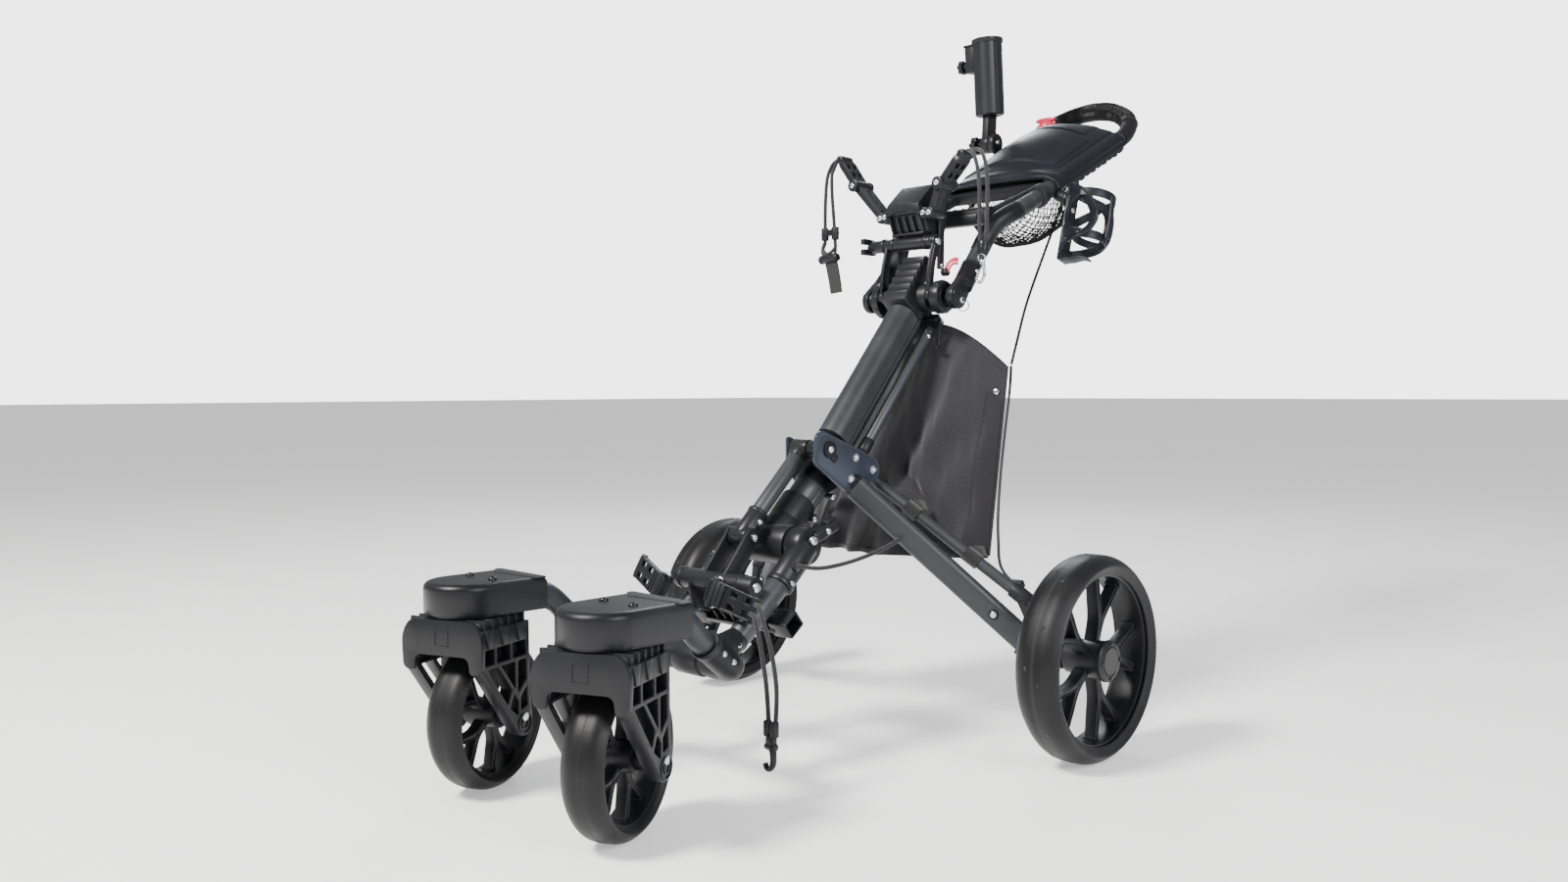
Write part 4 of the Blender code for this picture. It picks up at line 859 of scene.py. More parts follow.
def split_spokes(root, fork, reach, spread, depth, place):
    """Spokes that leave the hub as one web and part into two arms, with raised edges."""
    shapes = []
    for i in range(SPOKES):
        turn = place @ Matrix.Rotation(math.tau * i / SPOKES + math.radians(18), 4, "Z")
        for side in (-1.0, 1.0):
            start, knee = polar(root, 0.0, 0.0), polar(fork, side * 0.06, 0.0)
            end = polar(reach, side * spread, 0.0)
            route = smooth_route([start, knee, knee.lerp(end, 0.5), end], 5)
            section = rounded(
                [(-depth / 2, -0.0052), (depth / 2, -0.0040), (depth / 2, 0.0040),
                 (-depth / 2, 0.0052)], 0.0016, 2)
            shapes.append(moved(
                sweep(route, section, (0, 0, 1), lambda t: 1.0 - 0.22 * t), turn))
            for edge in (-1.0, 1.0):
                ridge = [
                    p + Vector((0, edge * 0.0038 * (1 - 0.2 * j / len(route)), depth / 2 - 0.001))
                    for j, p in enumerate(route)
                ]
                shapes.append(moved(sweep(ridge, circle(0.0012, 6), (0, 0, 1)), turn))
        web = [polar(root, -0.20, 0), polar(fork + 0.006, -0.05, 0), polar(fork + 0.006, 0.05, 0),
               polar(root, 0.20, 0)]
        shapes.append(flat(
            rounded([(p.x, p.y) for p in web], 0.003), depth * 0.92, turn, bevel=0.0012))
        shapes += [
            box((0.004, 0.013, depth * 0.9), turn @ Matrix.Rotation(side * spread, 4, "Z")
                @ Matrix.Translation((reach - 0.001, 0, 0)), 0.0012) for side in (1.0, -1.0)
        ]
    return shapes


REAR = {"radius": 0.145, "half": 0.0335, "x": 0.3605, "inner": 0.1195}
TREAD_REPEATS = 12
# Each raised rib's points, as turn in degrees and height in millimetres, and its thickness.
TREAD_RIBS = [
    ([(0, 25), (3, 21), (7, 17), (12, 15), (17, 13), (21, 9), (24, 6)], 0.0013),
    ([(2.0, 29), (5, 25.5), (10, 22), (16, 20), (22, 17)], 0.0010),
    ([(26, 12), (29, 7)], 0.0022),
]


def tread_radius(height):
    """The rear tyre's radius at a distance from its middle plane."""
    share = abs(height) / REAR["half"]
    return REAR["radius"] - 0.0135 * max(0.0, (share - 0.22) / 0.78) ** 2.3


def tread_rib(angle, points, width, place, side):
    """A raised rib on the tyre, sunk a little into it."""
    route = []
    for p in smooth_route([(t, h, 0.0) for t, h in points], 4):
        high = side * p.y / 1000
        route.append(polar(tread_radius(high) - 0.0014, angle + math.radians(p.x), high))
    rib = sweep(route, circle(width, 8), (0, 0, 1),
                size=lambda t: 0.35 + 0.65 * min(1.0, 5 * t, 5 * (1 - t)))
    return moved(rib, place)


def rear_wheel(name, side):
    centre = (side * REAR["x"], AXLE.y - LAYOUT.translation.y, AXLE.z)
    place = wheel_place(*centre)
    half, inner = REAR["half"], REAR["inner"]
    crown = [(tread_radius(half * s), half * s) for s in [1 - i / 12 for i in range(25)]]
    profile = [
        (inner + 0.0005, half * 0.80), (0.1290, half * 0.985), (0.1310, half), *crown,
        (0.1310, -half), (0.1290, -half * 0.985), (inner + 0.0005, -half * 0.80),
    ]
    ribs = []
    for i in range(TREAD_REPEATS):
        for edge in (-1.0, 1.0):
            at = math.tau * i / TREAD_REPEATS + (0.13 if edge > 0 else 0.0)
            ribs += [tread_rib(at, points, width, place, edge) for points, width in TREAD_RIBS]
    seam = turned([(0.1446, 0.0006), (0.1450, 0.0), (0.1446, -0.0006)], place, 96)
    finish_node(f"rear_tyre_{name}", "tyre", (TYRE, turned(profile, place, 96), *ribs, seam))
    lip = [
        (0.1265, 0.0300), (0.1290, 0.0318), (0.1322, 0.0330), (0.1330, 0.0322), (0.1302, 0.0290),
    ]
    barrel = [(0.1215, 0.0240), (0.1200, 0.0225), (0.1160, 0.0215), (0.1150, 0.0170),
              (0.1140, 0.0), (0.1150, -0.0170), (0.1160, -0.0215), (0.1200, -0.0225),
              (0.1215, -0.0240)]
    outer = [(0.1302, -0.0290), (0.1330, -0.0322), (0.1322, -0.0330), (0.1290, -0.0318),
             (0.1265, -0.0300)]
    section = [*lip, (0.1192, 0.0262), (0.1192, -0.0262), *outer, *barrel[::-1]]
    rim = turned(section, place, 96)
    hub = turned(
        [(0.0, 0.0290), (0.0250, 0.0290), (0.0275, 0.0260), (0.0262, 0.0), (0.0240, -0.0290),
         (0.0, -0.0290)], place, 40, closed=False)
    outside = Matrix.Rotation(0.0 if side > 0 else math.pi, 4, "X")
    cap = turned(
        [(0.0, 0.0350), (0.0188, 0.0350), (0.0195, 0.0338), (0.0205, 0.0336), (0.0215, 0.0347),
         (0.0262, 0.0340), (0.0288, 0.0315), (0.0292, 0.0280), (0.0, 0.0270)],
        place @ outside, 48, closed=False)
    clips = [
        box((0.0028, 0.0060, 0.0030), place @ outside @ Matrix.Rotation(math.tau * i / 4, 4, "Z")
            @ Matrix.Translation((0.0240, 0, 0.0346)), 0.0006)
        for i in range(4)
    ]
    spokes = split_spokes(0.0240, 0.0560, 0.1145, 0.26, 0.0200, place)
    finish_node(f"rear_rim_{name}", "black_plastic", (CASTING, rim, hub, cap, *clips, *spokes))


CASTER = {"radius": 0.0985, "half": 0.0270, "x": 0.141, "y": -0.6757, "trail": 0.037}
CASTER_TURN = {"left": math.radians(20.6), "right": math.radians(24.0)}


def caster_wheel(name, side):
    local = caster_local(name, side)
    place = local @ wheel_place(0.0, CASTER["trail"], CASTER["radius"])
    half, top = CASTER["half"], CASTER["radius"]
    crown = [
        (top - 0.0105 * max(0.0, (abs(s) - 0.22) / 0.78) ** 2.4, half * s)
        for s in [1 - i / 12 for i in range(25)]
    ]
    profile = [(0.0800, half * 0.72), (0.0850, half * 0.97), (0.0868, half), *crown,
               (0.0868, -half), (0.0850, -half * 0.97), (0.0800, -half * 0.72)]
    seam = turned([(top - 0.0002, 0.0007), (top + 0.00025, 0.0), (top - 0.0002, -0.0007)],
                  place, 96)
    flash = turned([(top - 0.0003, 0.0021), (top + 0.0001, 0.0017), (top - 0.0003, 0.0013)],
                   place, 96)
    finish_node(f"caster_tyre_{name}", "tyre", (TYRE, turned(profile, place, 96), seam, flash))
    section = [
        (0.0835, 0.0235), (0.0862, 0.0258), (0.0868, 0.0245), (0.0800, 0.0180), (0.0800, -0.0180),
        (0.0868, -0.0245), (0.0862, -0.0258), (0.0835, -0.0235), (0.0790, -0.0195),
        (0.0765, -0.0180), (0.0750, 0.0), (0.0765, 0.0180), (0.0790, 0.0195),
    ]
    hub = turned(
        [(0.0, 0.0388), (0.0130, 0.0388), (0.0140, 0.0372), (0.0150, 0.0240), (0.0190, 0.0220),
         (0.0185, 0.0), (0.0190, -0.0220), (0.0150, -0.0240), (0.0140, -0.0372),
         (0.0130, -0.0388), (0.0, -0.0388)], place, 40, closed=False)
    spokes = split_spokes(0.0170, 0.0380, 0.0755, 0.30, 0.0165, place)
    finish_node(f"caster_rim_{name}", "black_plastic",
                (CASTING, turned(section, place, 96), hub, *spokes))


def caster_local(name, side):
    """The caster's frame: origin on the floor under its swivel axis."""
    swivel = Vector((side * CASTER["x"], CASTER["y"], 0.0))
    return Matrix.Translation(swivel) @ Matrix.Rotation(CASTER_TURN[name], 4, "Z")


def caster_fork(name, side):
    """A crown with a plain square mark and two arms of open ribs."""
    local = caster_local(name, side)
    trail = CASTER["trail"]
    crown_front = flat(
        rounded([(-0.0430, 0.168), (-0.0410, 0.1905), (0.0410, 0.1905), (0.0430, 0.168),
                 (0.0600, 0.172), (0.0622, 0.214), (0.0500, 0.2350), (-0.0500, 0.2350),
                 (-0.0622, 0.214), (-0.0600, 0.172)], 0.011, 5),
        0.0080,
        local @ front_view(-0.0496), bevel=0.0016)
    mark_place = local @ Matrix.Translation((0.0, -0.0538, 0.2130)) @ UPRIGHT
    square = rect(0.0105, 0.0115)
    inner = [(0.87 * u, 0.87 * v) for u, v in square]
    mark = flat(square, 0.0012, mark_place, holes=[inner], bevel=0.0003)
    crown = box((0.1080, 0.088, 0.034), local @ Matrix.Translation((0, -0.004, 0.2170)), 0.005, 3)
    roof = [
        box((0.1150, 0.0040, 0.0170), local @ Matrix.Translation((0, -0.040 + 0.016 * i, 0.2270)),
            0.001) for i in range(6)
    ]
    stem = rod(local @ Vector((0, 0, 0.230)), local @ Vector((0, 0, 0.2372)), 0.026)
    shapes = [crown_front, mark, crown, stem, *roof]
    arm = [
        (-0.0520, 0.2230), (-0.0520, 0.1760), (0.0215, 0.0830),
        *arc((trail, 0.0900), 0.0165, 215, 360, 9), (0.0490, 0.1500), (0.0485, 0.2230),
    ]
    cells = [
        [(-0.0450, 0.1990), (-0.0450, 0.1800), (-0.0250, 0.1800), (-0.0250, 0.1990)],
        [(-0.0200, 0.1990), (-0.0200, 0.1800), (0.0080, 0.1800), (0.0080, 0.1990)],
        [(0.0130, 0.1990), (0.0130, 0.1800), (0.0415, 0.1800), (0.0415, 0.1990)],
        [(-0.0400, 0.1745), (-0.0180, 0.1745), (0.0100, 0.1400), (0.0015, 0.1215)],
        [(-0.0110, 0.1745), (0.0180, 0.1745), (0.0180, 0.1390)],
        [(0.0235, 0.1745), (0.0420, 0.1745), (0.0420, 0.1480), (0.0235, 0.1330)],
        [(0.0060, 0.1160), (0.0150, 0.1330), (0.0250, 0.1210), (0.0235, 0.1030)],
        [(0.0290, 0.1260), (0.0425, 0.1385), (0.0440, 0.1130), (0.0290, 0.1090)],
    ]
    cells = [rounded(cell, 0.002, 2) for cell in cells]
    for outer in (-1.0, 1.0):
        place = local @ side_view(outer * 0.0505)
        shapes.append(flat(arm, 0.0180, place, holes=cells, bevel=0.0009))
        for cell in cells[:3]:
            shapes.append(flat(
                [(1.02 * (u - cell[0][0]) + cell[0][0], v) for u, v in cell], 0.0030,
                local @ side_view(outer * 0.0440), bevel=0.0))
        for i, y in enumerate((-0.0360, -0.0060, 0.0275)):
            fin = [(y - 0.0085, 0.2240), (y + 0.0085, 0.2240), (y + 0.0030, 0.2000),
                   (y - 0.0030, 0.2000)]
            shapes.append(flat(fin, 0.0060, local @ side_view(outer * 0.0590), bevel=0.0012))
        shapes += [
            turned([(r, -0.0015), (r + 0.0014, -0.0015), (r + 0.0014, 0.0015), (r, 0.0015)],
                   local @ wheel_place(outer * 0.0595, trail, 0.0900), 30)
            for r in (0.0060, 0.0125)
        ]
    pins = [
        rod(local @ Vector((s * 0.0560, trail, CASTER["radius"])),
            local @ Vector((s * 0.0618, trail, CASTER["radius"])), 0.0058, sides=24, bevel=0.0012)
        for s in (-1.0, 1.0)
    ]
    finish_node(f"caster_fork_{name}", "black_plastic", (CASTING, *shapes), (STEEL, *pins))


def caster_housing(name, side):
    """The rounded box over the swivel, with two screws on top and a socket for the arm."""
    x, half = side * 0.1425, 0.0545

    def ring(inset, z):
        reach, back = half - inset, -0.590 - inset / 2
        outline = [*arc((0.0, CASTER["y"]), reach, 180, 360, 33), (reach, back), (-reach, back)]
        return [Vector((x + u, v, z)) for u, v in outline]

    rim = [(0.0030, 0.2366), (0.0026, 0.2392), (0.0004, 0.2396), (0.0, 0.2402)]
    crown = [(0.0090 * (1 - math.cos(a)), 0.2700 + 0.0090 * math.sin(a))
             for a in [math.radians(9 * i) for i in range(11)]]
    body = lofted([ring(*step) for step in [*rim, *crown]])
    notch = flat(
        rounded([(-0.0300, -0.6180), (0.0545, -0.6100), (0.0545, -0.5905), (-0.0545, -0.5905),
                 (-0.0545, -0.5990)], 0.004), 0.0020,
        Matrix.Translation((x, 0.0, 0.2784)), bevel=0.0010)
    screws = [
        bolt((x + dx, -0.6550, 0.2786), (0, 0, 1), 0.0056, 0.0040) for dx in (-0.0265, 0.0270)
    ]
    finish_node(f"caster_housing_{name}", "black_plastic", (CASTING, body, notch),
                (DARK_STEEL, *screws))


def wheels():
    for name, side in SIDES.items():
        rear_wheel(name, side)
        caster_wheel(name, side)
        caster_fork(name, side)
        caster_housing(name, side)


# ---------------------------------------------------------------- main frame

LEG_PIVOT = (-0.1387, 0.4202)
KNUCKLE = (-0.264, 0.301)
STRUT_TOP = (-0.198, 0.434)
STRUT_FOOT = (
    KNUCKLE[0] + STRUT_TOP[0] - LEG_PIVOT[0], KNUCKLE[1] + STRUT_TOP[1] - LEG_PIVOT[1])
HUB = (0.0625, 0.6665)
MAIN_TUBE_FOOT = (-0.130, 0.443)
MAIN_TUBE_HEAD = (0.0405, 0.6377)
TILT_PIVOT = (0.463, 0.988)
CUP_X = -0.134
HANDLE_SLOPE = math.radians(26.0)
HANDLE_POINT = Vector((0.0, 0.2825, 0.8514))
UP_SLOPE = Vector((0.0, math.cos(HANDLE_SLOPE), math.sin(HANDLE_SLOPE)))
OFF_SLOPE = Vector((0.0, -math.sin(HANDLE_SLOPE), math.cos(HANDLE_SLOPE)))
SLOPE = Matrix.Rotation(HANDLE_SLOPE, 4, "X")


def on_handle(x, along, above=0.0):
    """A point by its distance up the handle's slope and above the handle's plane."""
    return HANDLE_POINT + Vector((x, 0.0, 0.0)) + along * UP_SLOPE + above * OFF_SLOPE


def at_handle(x, along, above=0.0):
    return Matrix.Translation(on_handle(x, along, above)) @ SLOPE


def main_tube():
    """The upright: round in front, with a grooved rail for the folding gear up its back."""
    front = arc((0, -0.0055), 0.0235, 180, 360, 33)
    right = [
        (0.0235, 0.0075), (0.0222, 0.0083), (0.0222, 0.0098), (0.0235, 0.0106), (0.0232, 0.0150),
        (0.0205, 0.0172), (0.0188, 0.0172), (0.0188, 0.0196), (0.0172, 0.0210),
        (0.0145, 0.0290), (0.0125, 0.0300),
    ]
    section = front + right + [(-u, v) for u, v in reversed(right)]
    route = [Vector((0.0, *MAIN_TUBE_FOOT)).lerp(Vector((0.0, *MAIN_TUBE_HEAD)), i / 24)
             for i in range(25)]
    finish_node("main_tube", "tube_grey", (TUBE, sweep(route, section)))


def centre_tube():
    """The lower tube, its latch collar, and the casting that the front legs turn on."""
    knuckle = Vector((0.0, *KNUCKLE))
    up = (Vector((0.0, *LEG_PIVOT)) - knuckle).normalized()
    below = Vector((0.0, up.z, -up.y))
    end = Vector((0.0, *LEG_PIVOT)) + 0.010 * up
    rail = bar(knuckle + 0.080 * up + Vector((0.0205, 0, 0)) + 0.008 * below,
               knuckle + 0.112 * up + Vector((0.0205, 0, 0)) + 0.008 * below,
               rounded([(-0.004, -0.007), (0.004, -0.006), (0.004, 0.006), (-0.004, 0.007)], 0.001))
    finish_node("centre_tube", "tube_grey",
                (TUBE, rod(knuckle + 0.0775 * up, end, 0.0225, sides=48), rail))
    ribs = [(0.0246 + 0.0010 * (i % 2), 0.0165 - 0.0030 * i) for i in range(12)]
    collar = knuckle + 0.128 * up
    ring = turned([*ribs, (0.0229, -0.0165), (0.0229, 0.0165)], axes_matrix(collar, up), 56)
    tab_place = axes_matrix(collar + 0.0265 * below + Vector((0.012, 0, 0)), Vector((1, 0, 0)), up)
    tab = flat(
        rounded([(0.014, -0.008), (0.014, 0.012), (-0.010, 0.022), (-0.024, 0.024),
                 (-0.027, 0.014), (-0.012, 0.004)], 0.006, 5), 0.006, tab_place,
        holes=[[(0.5 * u - 0.012, 0.4 * v + 0.013) for u, v in circle(0.008, 12)]], bevel=0.0014)
    twin = moved(tab.copy(), Matrix.Translation((-0.020, 0, 0)))
    pin_at = collar + 0.035 * below - 0.004 * up
    pin = cross_rod(-0.014, 0.018, tuple(pin_at.yz), 0.0050, 20)
    screw = bolt(pin_at + Vector((0.0175, 0, 0)), (1, 0, 0), 0.0050)
    finish_node("latch_collar", "black_plastic", (CASTING, ring, tab, twin, pin), (STEEL, screw))
    barrel = cross_rod(-0.046, 0.046, KNUCKLE, 0.029, 56, 0.003)
    neck = rod(knuckle, knuckle + 0.0772 * up, 0.0262, sides=48, bevel=0.002)
    socket = turned([(0.0268, 0.079), (0.0274, 0.076), (0.0272, 0.040), (0.0230, 0.036),
                     (0.0230, 0.079)], axes_matrix(knuckle, up), 48)
    fillet = rod(knuckle + 0.010 * up, knuckle + 0.042 * up, 0.0285, 0.0265, 48, 0.004)
    lug_end = knuckle + 0.066 * up + Vector((0.0275, 0, 0)) + 0.020 * below
    lug = rod(knuckle + 0.066 * up + Vector((0.018, 0, 0)) + 0.018 * below, lug_end, 0.0070,
              sides=22)
    head = bolt(lug_end, (1, 0, 0.15), 0.0045)
    finish_node("knuckle_casting", "black_plastic",
                (CASTING, barrel, neck, socket, fillet, lug), (STEEL, head))


def hub():
    """The folding hub: its cap on the main tube, the stepped rack, the bracket and strap hook."""
    axis = Vector((0.0, *HUB))
    head = Vector((0.0, *MAIN_TUBE_HEAD))
    up = (head - Vector((0.0, *MAIN_TUBE_FOOT))).normalized()
    shapes = [
        cross_rod(-0.0405, 0.0405, HUB, 0.0235, 44, 0.002),
        bar(head + 0.0004 * up, head + 0.034 * up, oval(0.050, 0.058, 16), bevel=0.003),
        bar(head + 0.0004 * up, head + 0.007 * up, oval(0.0530, 0.0605, 16), bevel=0.0015),
        bar(axis, (0.0, 0.092, 0.628), oval(0.030, 0.024, 10), bevel=0.002),
        block((0.0, 0.0865, 0.6305), (0.074, 0.022, 0.014), math.radians(-41), 0.003, 3),
        block((0.0, 0.0820, 0.6380), (0.050, 0.030, 0.008), math.radians(-41), 0.002),
    ]
    core = [(0.0380, 0.6520), (0.0200, 0.6690), (0.0700, 0.7330), (0.0880, 0.7190)]
    shapes.append(flat(rounded(core, 0.004), 0.0400, side_view(), bevel=0.0015))
    lean = math.atan2(0.0112, 0.0088)
    for step in range(6):
        centre = (0.0, 0.0235 + 0.0088 * step, 0.6700 + 0.0112 * step)
        shapes.append(block(centre, (0.0440, 0.0065, 0.0200), lean - math.radians(90), 0.0014))
        shapes.append(block((0.0, centre[1] - 0.0045, centre[2] + 0.0020),
                            (0.0440, 0.0040, 0.0110), lean - math.radians(60), 0.0012))
    shapes.append(block((0.0, 0.0262, 0.6620), (0.0500, 0.0300, 0.0200), lean - math.radians(90),
                        0.0025, 3))
    for side in SIDES.values():
        shapes.append(flat(
            rounded([(0.0420, 0.6560), (0.0220, 0.6720), (0.0700, 0.7330), (0.0860, 0.7200)],
                    0.006), 0.0035, side_view(side * 0.0205), bevel=0.001))
    hook = [(0.0400, 0.0795, 0.6330), (0.0400, 0.0790, 0.6100), (0.0400, 0.0775, 0.5930),
            (0.0420, 0.0735, 0.5875), (0.0460, 0.0700, 0.5880), (0.0480, 0.0690, 0.5930)]
    shapes.append(sweep(smooth_route(hook, 6), rounded(
        rect(0.0035, 0.0018), 0.001, 2)))
    bolts = [bolt((0.0372, 0.0865, 0.6305), (1, 0, 0), 0.0042),
             bolt((0.0415, *HUB), (1, 0, 0), 0.0060)]
    finish_node("hub_body", "black_plastic", (CASTING, *shapes), (STEEL, *bolts))


def guide_rods():
    low, high = (-0.094, 0.4265), (0.0705, 0.6145)
    bars = [rod((x, *low), (x, *high), 0.0085, sides=32) for x in (-0.027, 0.027)]
    joint = cross_rod(-0.027, 0.027, (high[0] - 0.004, high[1] - 0.0045), 0.0065, 20)
    direction = (Vector((0.0, *high)) - Vector((0.0, *low))).normalized()
    shoes = [
        rod(Vector((x, *low)), Vector((x, *low)) + 0.022 * direction, 0.0096, sides=32)
        for x in (-0.027, 0.027)
    ]
    tips = [
        rod(Vector((x, *high)) - 0.010 * direction, Vector((x, *high)) + 0.003 * direction, 0.0098,
            sides=28) for x in (-0.027, 0.027)
    ]
    screws = [bolt((0.0340, high[0] - 0.010, high[1] - 0.0100), (1, 0, 0), 0.0040)]
    finish_node("guide_rods", "tube_grey", (TUBE, joint, *bars), (PLASTIC, *shoes, *tips),
                (STEEL, *screws))


# ---------------------------------------------------------------- rear legs

LEG_TOP = Vector((0.0381, -0.1470, 0.3890))
LEG_FOOT = Vector((0.2790, -0.0152, 0.1494))
REAR_STRUT_TOP = Vector((0.0365, -0.0970, 0.4030))
REAR_STRUT_BENDS = [(0.0395, -0.0890, 0.3900), (0.0470, -0.0850, 0.3790)]
REAR_STRUT_FOOT = Vector((0.2620, -0.0230, 0.2260))
PLATE_X = 0.0510
PLATE_OUTLINE = [
    (-0.2270, 0.4570), (-0.2310, 0.4140), (-0.1600, 0.3690), (-0.0920, 0.3850),
    (-0.0830, 0.3960), (-0.0880, 0.4130), (-0.1250, 0.4290), (-0.2130, 0.4620),
]
SHORT_PLATE_OUTLINE = [
    (-0.1800, 0.4480), (-0.1800, 0.3990), (-0.1485, 0.3690), (-0.0920, 0.3850),
    (-0.0830, 0.3960), (-0.0880, 0.4130), (-0.1750, 0.4500),
]
PLATE_BOLTS = [(-0.1387, 0.4202), (-0.1500, 0.3890), (-0.1000, 0.4000)]


def side_plates():
    for name, side in SIDES.items():
        outline = PLATE_OUTLINE if name == "right" else SHORT_PLATE_OUTLINE
        plate = flat(rounded(outline, 0.008, 5), 0.0030, side_view(side * PLATE_X), bevel=0.0009)
        inset = [(0.90 * (u + 0.150) - 0.150, 0.90 * (v - 0.413) + 0.413) for u, v in outline]
        rim = flat(rounded(outline, 0.008, 5), 0.0008, side_view(side * (PLATE_X + 0.0017)),
                   holes=[rounded(inset, 0.008, 5)], bevel=0.0002)
        outer = side * (PLATE_X + 0.0018)
        washers = [
            cross_rod(outer - side * 0.001, outer + side * 0.0008, at, 0.0066, 24, 0.0003)
            for at in PLATE_BOLTS
        ]
        heads = [bolt((outer + side * 0.0006, *at), (side, 0, 0), 0.0054, 0.0032)
                 for at in PLATE_BOLTS]
        parts = [(PLATE, plate, rim)]
        plastic = []
        if name == "right":
            inner = PLATE_X - 0.0165
            plastic += [
                cross_rod(PLATE_X, inner, STRUT_TOP, 0.0060, 20),
                cross_rod(inner + 0.003, 0.0165, STRUT_TOP, 0.0125, 28),
                cross_rod(PLATE_X + 0.0010, PLATE_X + 0.0050, STRUT_TOP, 0.0125, 36, 0.0015),
                block((PLATE_X + 0.0028, STRUT_TOP[0] + 0.0090, STRUT_TOP[1] - 0.0120),
                      (0.0040, 0.0130, 0.0110), math.radians(-38), 0.0015),
            ]
            heads.append(bolt((PLATE_X + 0.0050, *STRUT_TOP), (1, 0, 0), 0.0056, 0.0032))
            parts.append((PLASTIC, *plastic))
        parts.append((STEEL, *washers, *heads))
        finish_node(f"side_plate_{name}", "plate_grey", *parts)


def rear_legs():
    """Each leg's oval tube, with a pin near its foot, and the thin brace and castings."""
    for name, side in SIDES.items():
        top, foot = mirrored(LEG_TOP, side), mirrored(LEG_FOOT, side)
        along = (foot - top).normalized()
        facing = along.cross(Vector((0, 0, 1))) * side
        start = top.lerp(foot, 0.055)
        route = [start.lerp(foot, i / 30) for i in range(31)]
        leg = sweep(route, oval(0.021, 0.037, 16), across=facing)
        out = axes_matrix(top, along, facing).to_3x3().col[0]
        if out.x * side < 0:
            out = -out
        pin_at = top.lerp(foot, 0.80) + 0.0106 * out
        washer = rod(pin_at - 0.001 * out, pin_at + 0.0008 * out, 0.0075, sides=28, bevel=0.0004)
        head = bolt(pin_at + 0.0006 * out, out, 0.0052, 0.0030)
        plug = bar(top.lerp(foot, 0.030), start + 0.008 * along, oval(0.0185, 0.0345, 14), facing)
        finish_node(f"rear_leg_{name}", "tube_grey", (TUBE, leg), (STEEL, head),
                    (PLASTIC, washer, plug))

        bends = [mirrored(point, side) for point in REAR_STRUT_BENDS]
        strut_top, strut_foot = mirrored(REAR_STRUT_TOP, side), mirrored(REAR_STRUT_FOOT, side)
        brace = sweep(
            [strut_top, *bends] + [bends[-1].lerp(strut_foot, i / 20) for i in range(1, 21)],
            circle(0.0088, 28))
        strut_along = (strut_foot - bends[-1]).normalized()
        castings = [
            bar(foot - 0.014 * along, foot + 0.020 * along, oval(0.0285, 0.0445, 14), facing,
                0.0025),
            bar(foot - 0.016 * along, foot - 0.009 * along, oval(0.0305, 0.0465, 14), facing,
                0.0015),
            rod(strut_foot - 0.014 * strut_along, strut_foot + 0.020 * strut_along, 0.0118,
                sides=32, bevel=0.002),
            bar(strut_foot + 0.010 * strut_along, (side * 0.296, -0.004, 0.150),
                oval(0.018, 0.030, 10), bevel=0.003),
            cross_rod(side * 0.278, side * 0.3225, (0.0, 0.145), 0.0212, 40, 0.003),
            cross_rod(side * 0.300, side * 0.3235, (0.0, 0.145), 0.0180, 40, 0.002),
            block((side * 0.2560, -0.0215, 0.2400), (0.022, 0.010, 0.012), math.radians(30), 0.002),
        ]
        axle = cross_rod(side * 0.300, side * 0.388, (0.0, 0.145), 0.0060, 20)
        cable_end = rod((side * 0.2500, -0.0050, 0.2300), (side * 0.2660, -0.0070, 0.2120), 0.0046,
                        sides=18)
        barrel = rod((side * 0.2400, -0.0035, 0.2345), (side * 0.2500, -0.0050, 0.2300), 0.0034,
                     sides=18)
        casting_bolts = [bolt((side * 0.2775, -0.0205, 0.1850), (side * 0.4, -0.9, 0.1), 0.0048)]
        finish_node(f"rear_strut_{name}", "tube_grey", (TUBE, brace), (CASTING, *castings),
                    (STEEL, axle, cable_end, barrel, *casting_bolts))


def fold_strut():
    top, foot = Vector((0.0, *STRUT_TOP)), Vector((0.0, *STRUT_FOOT))
    along = (foot - top).normalized()
    metal = rod(top, foot - 0.004 * along, 0.0120, sides=40)
    plastic = [
        cross_rod(-0.0155, 0.0155, STRUT_TOP, 0.0140, 36, 0.002),
        rod(top, top + 0.020 * along, 0.0138, sides=36),
        rod(foot - 0.045 * along, foot, 0.0145, sides=36, bevel=0.002),
        rod(foot - 0.046 * along, foot - 0.040 * along, 0.0154, sides=36),
        cross_rod(-0.0160, 0.0160, STRUT_FOOT, 0.0135, 36, 0.002),
        block(foot - 0.020 * along + Vector((0.0115, 0, 0)), (0.010, 0.010, 0.030),
              math.radians(-45), 0.003, 3),
    ]
    screws = [
        bolt(foot - 0.010 * along + Vector((0.0162, 0, 0)), (1, 0, 0), 0.0044),
        bolt(foot - 0.028 * along + Vector((0.0162, 0, 0)), (1, 0, 0), 0.0044),
    ]
    finish_node("fold_strut", "tube_grey", (TUBE, metal), (CASTING, *plastic), (STEEL, *screws))


# ---------------------------------------------------------------- front frame

FRONT_LEG_X = 0.0660
BEAM = (-0.4720, 0.1760)
LOWER_BAR = (-0.3710, 0.2560)
LEG_BEND = (-0.3980, 0.1880)


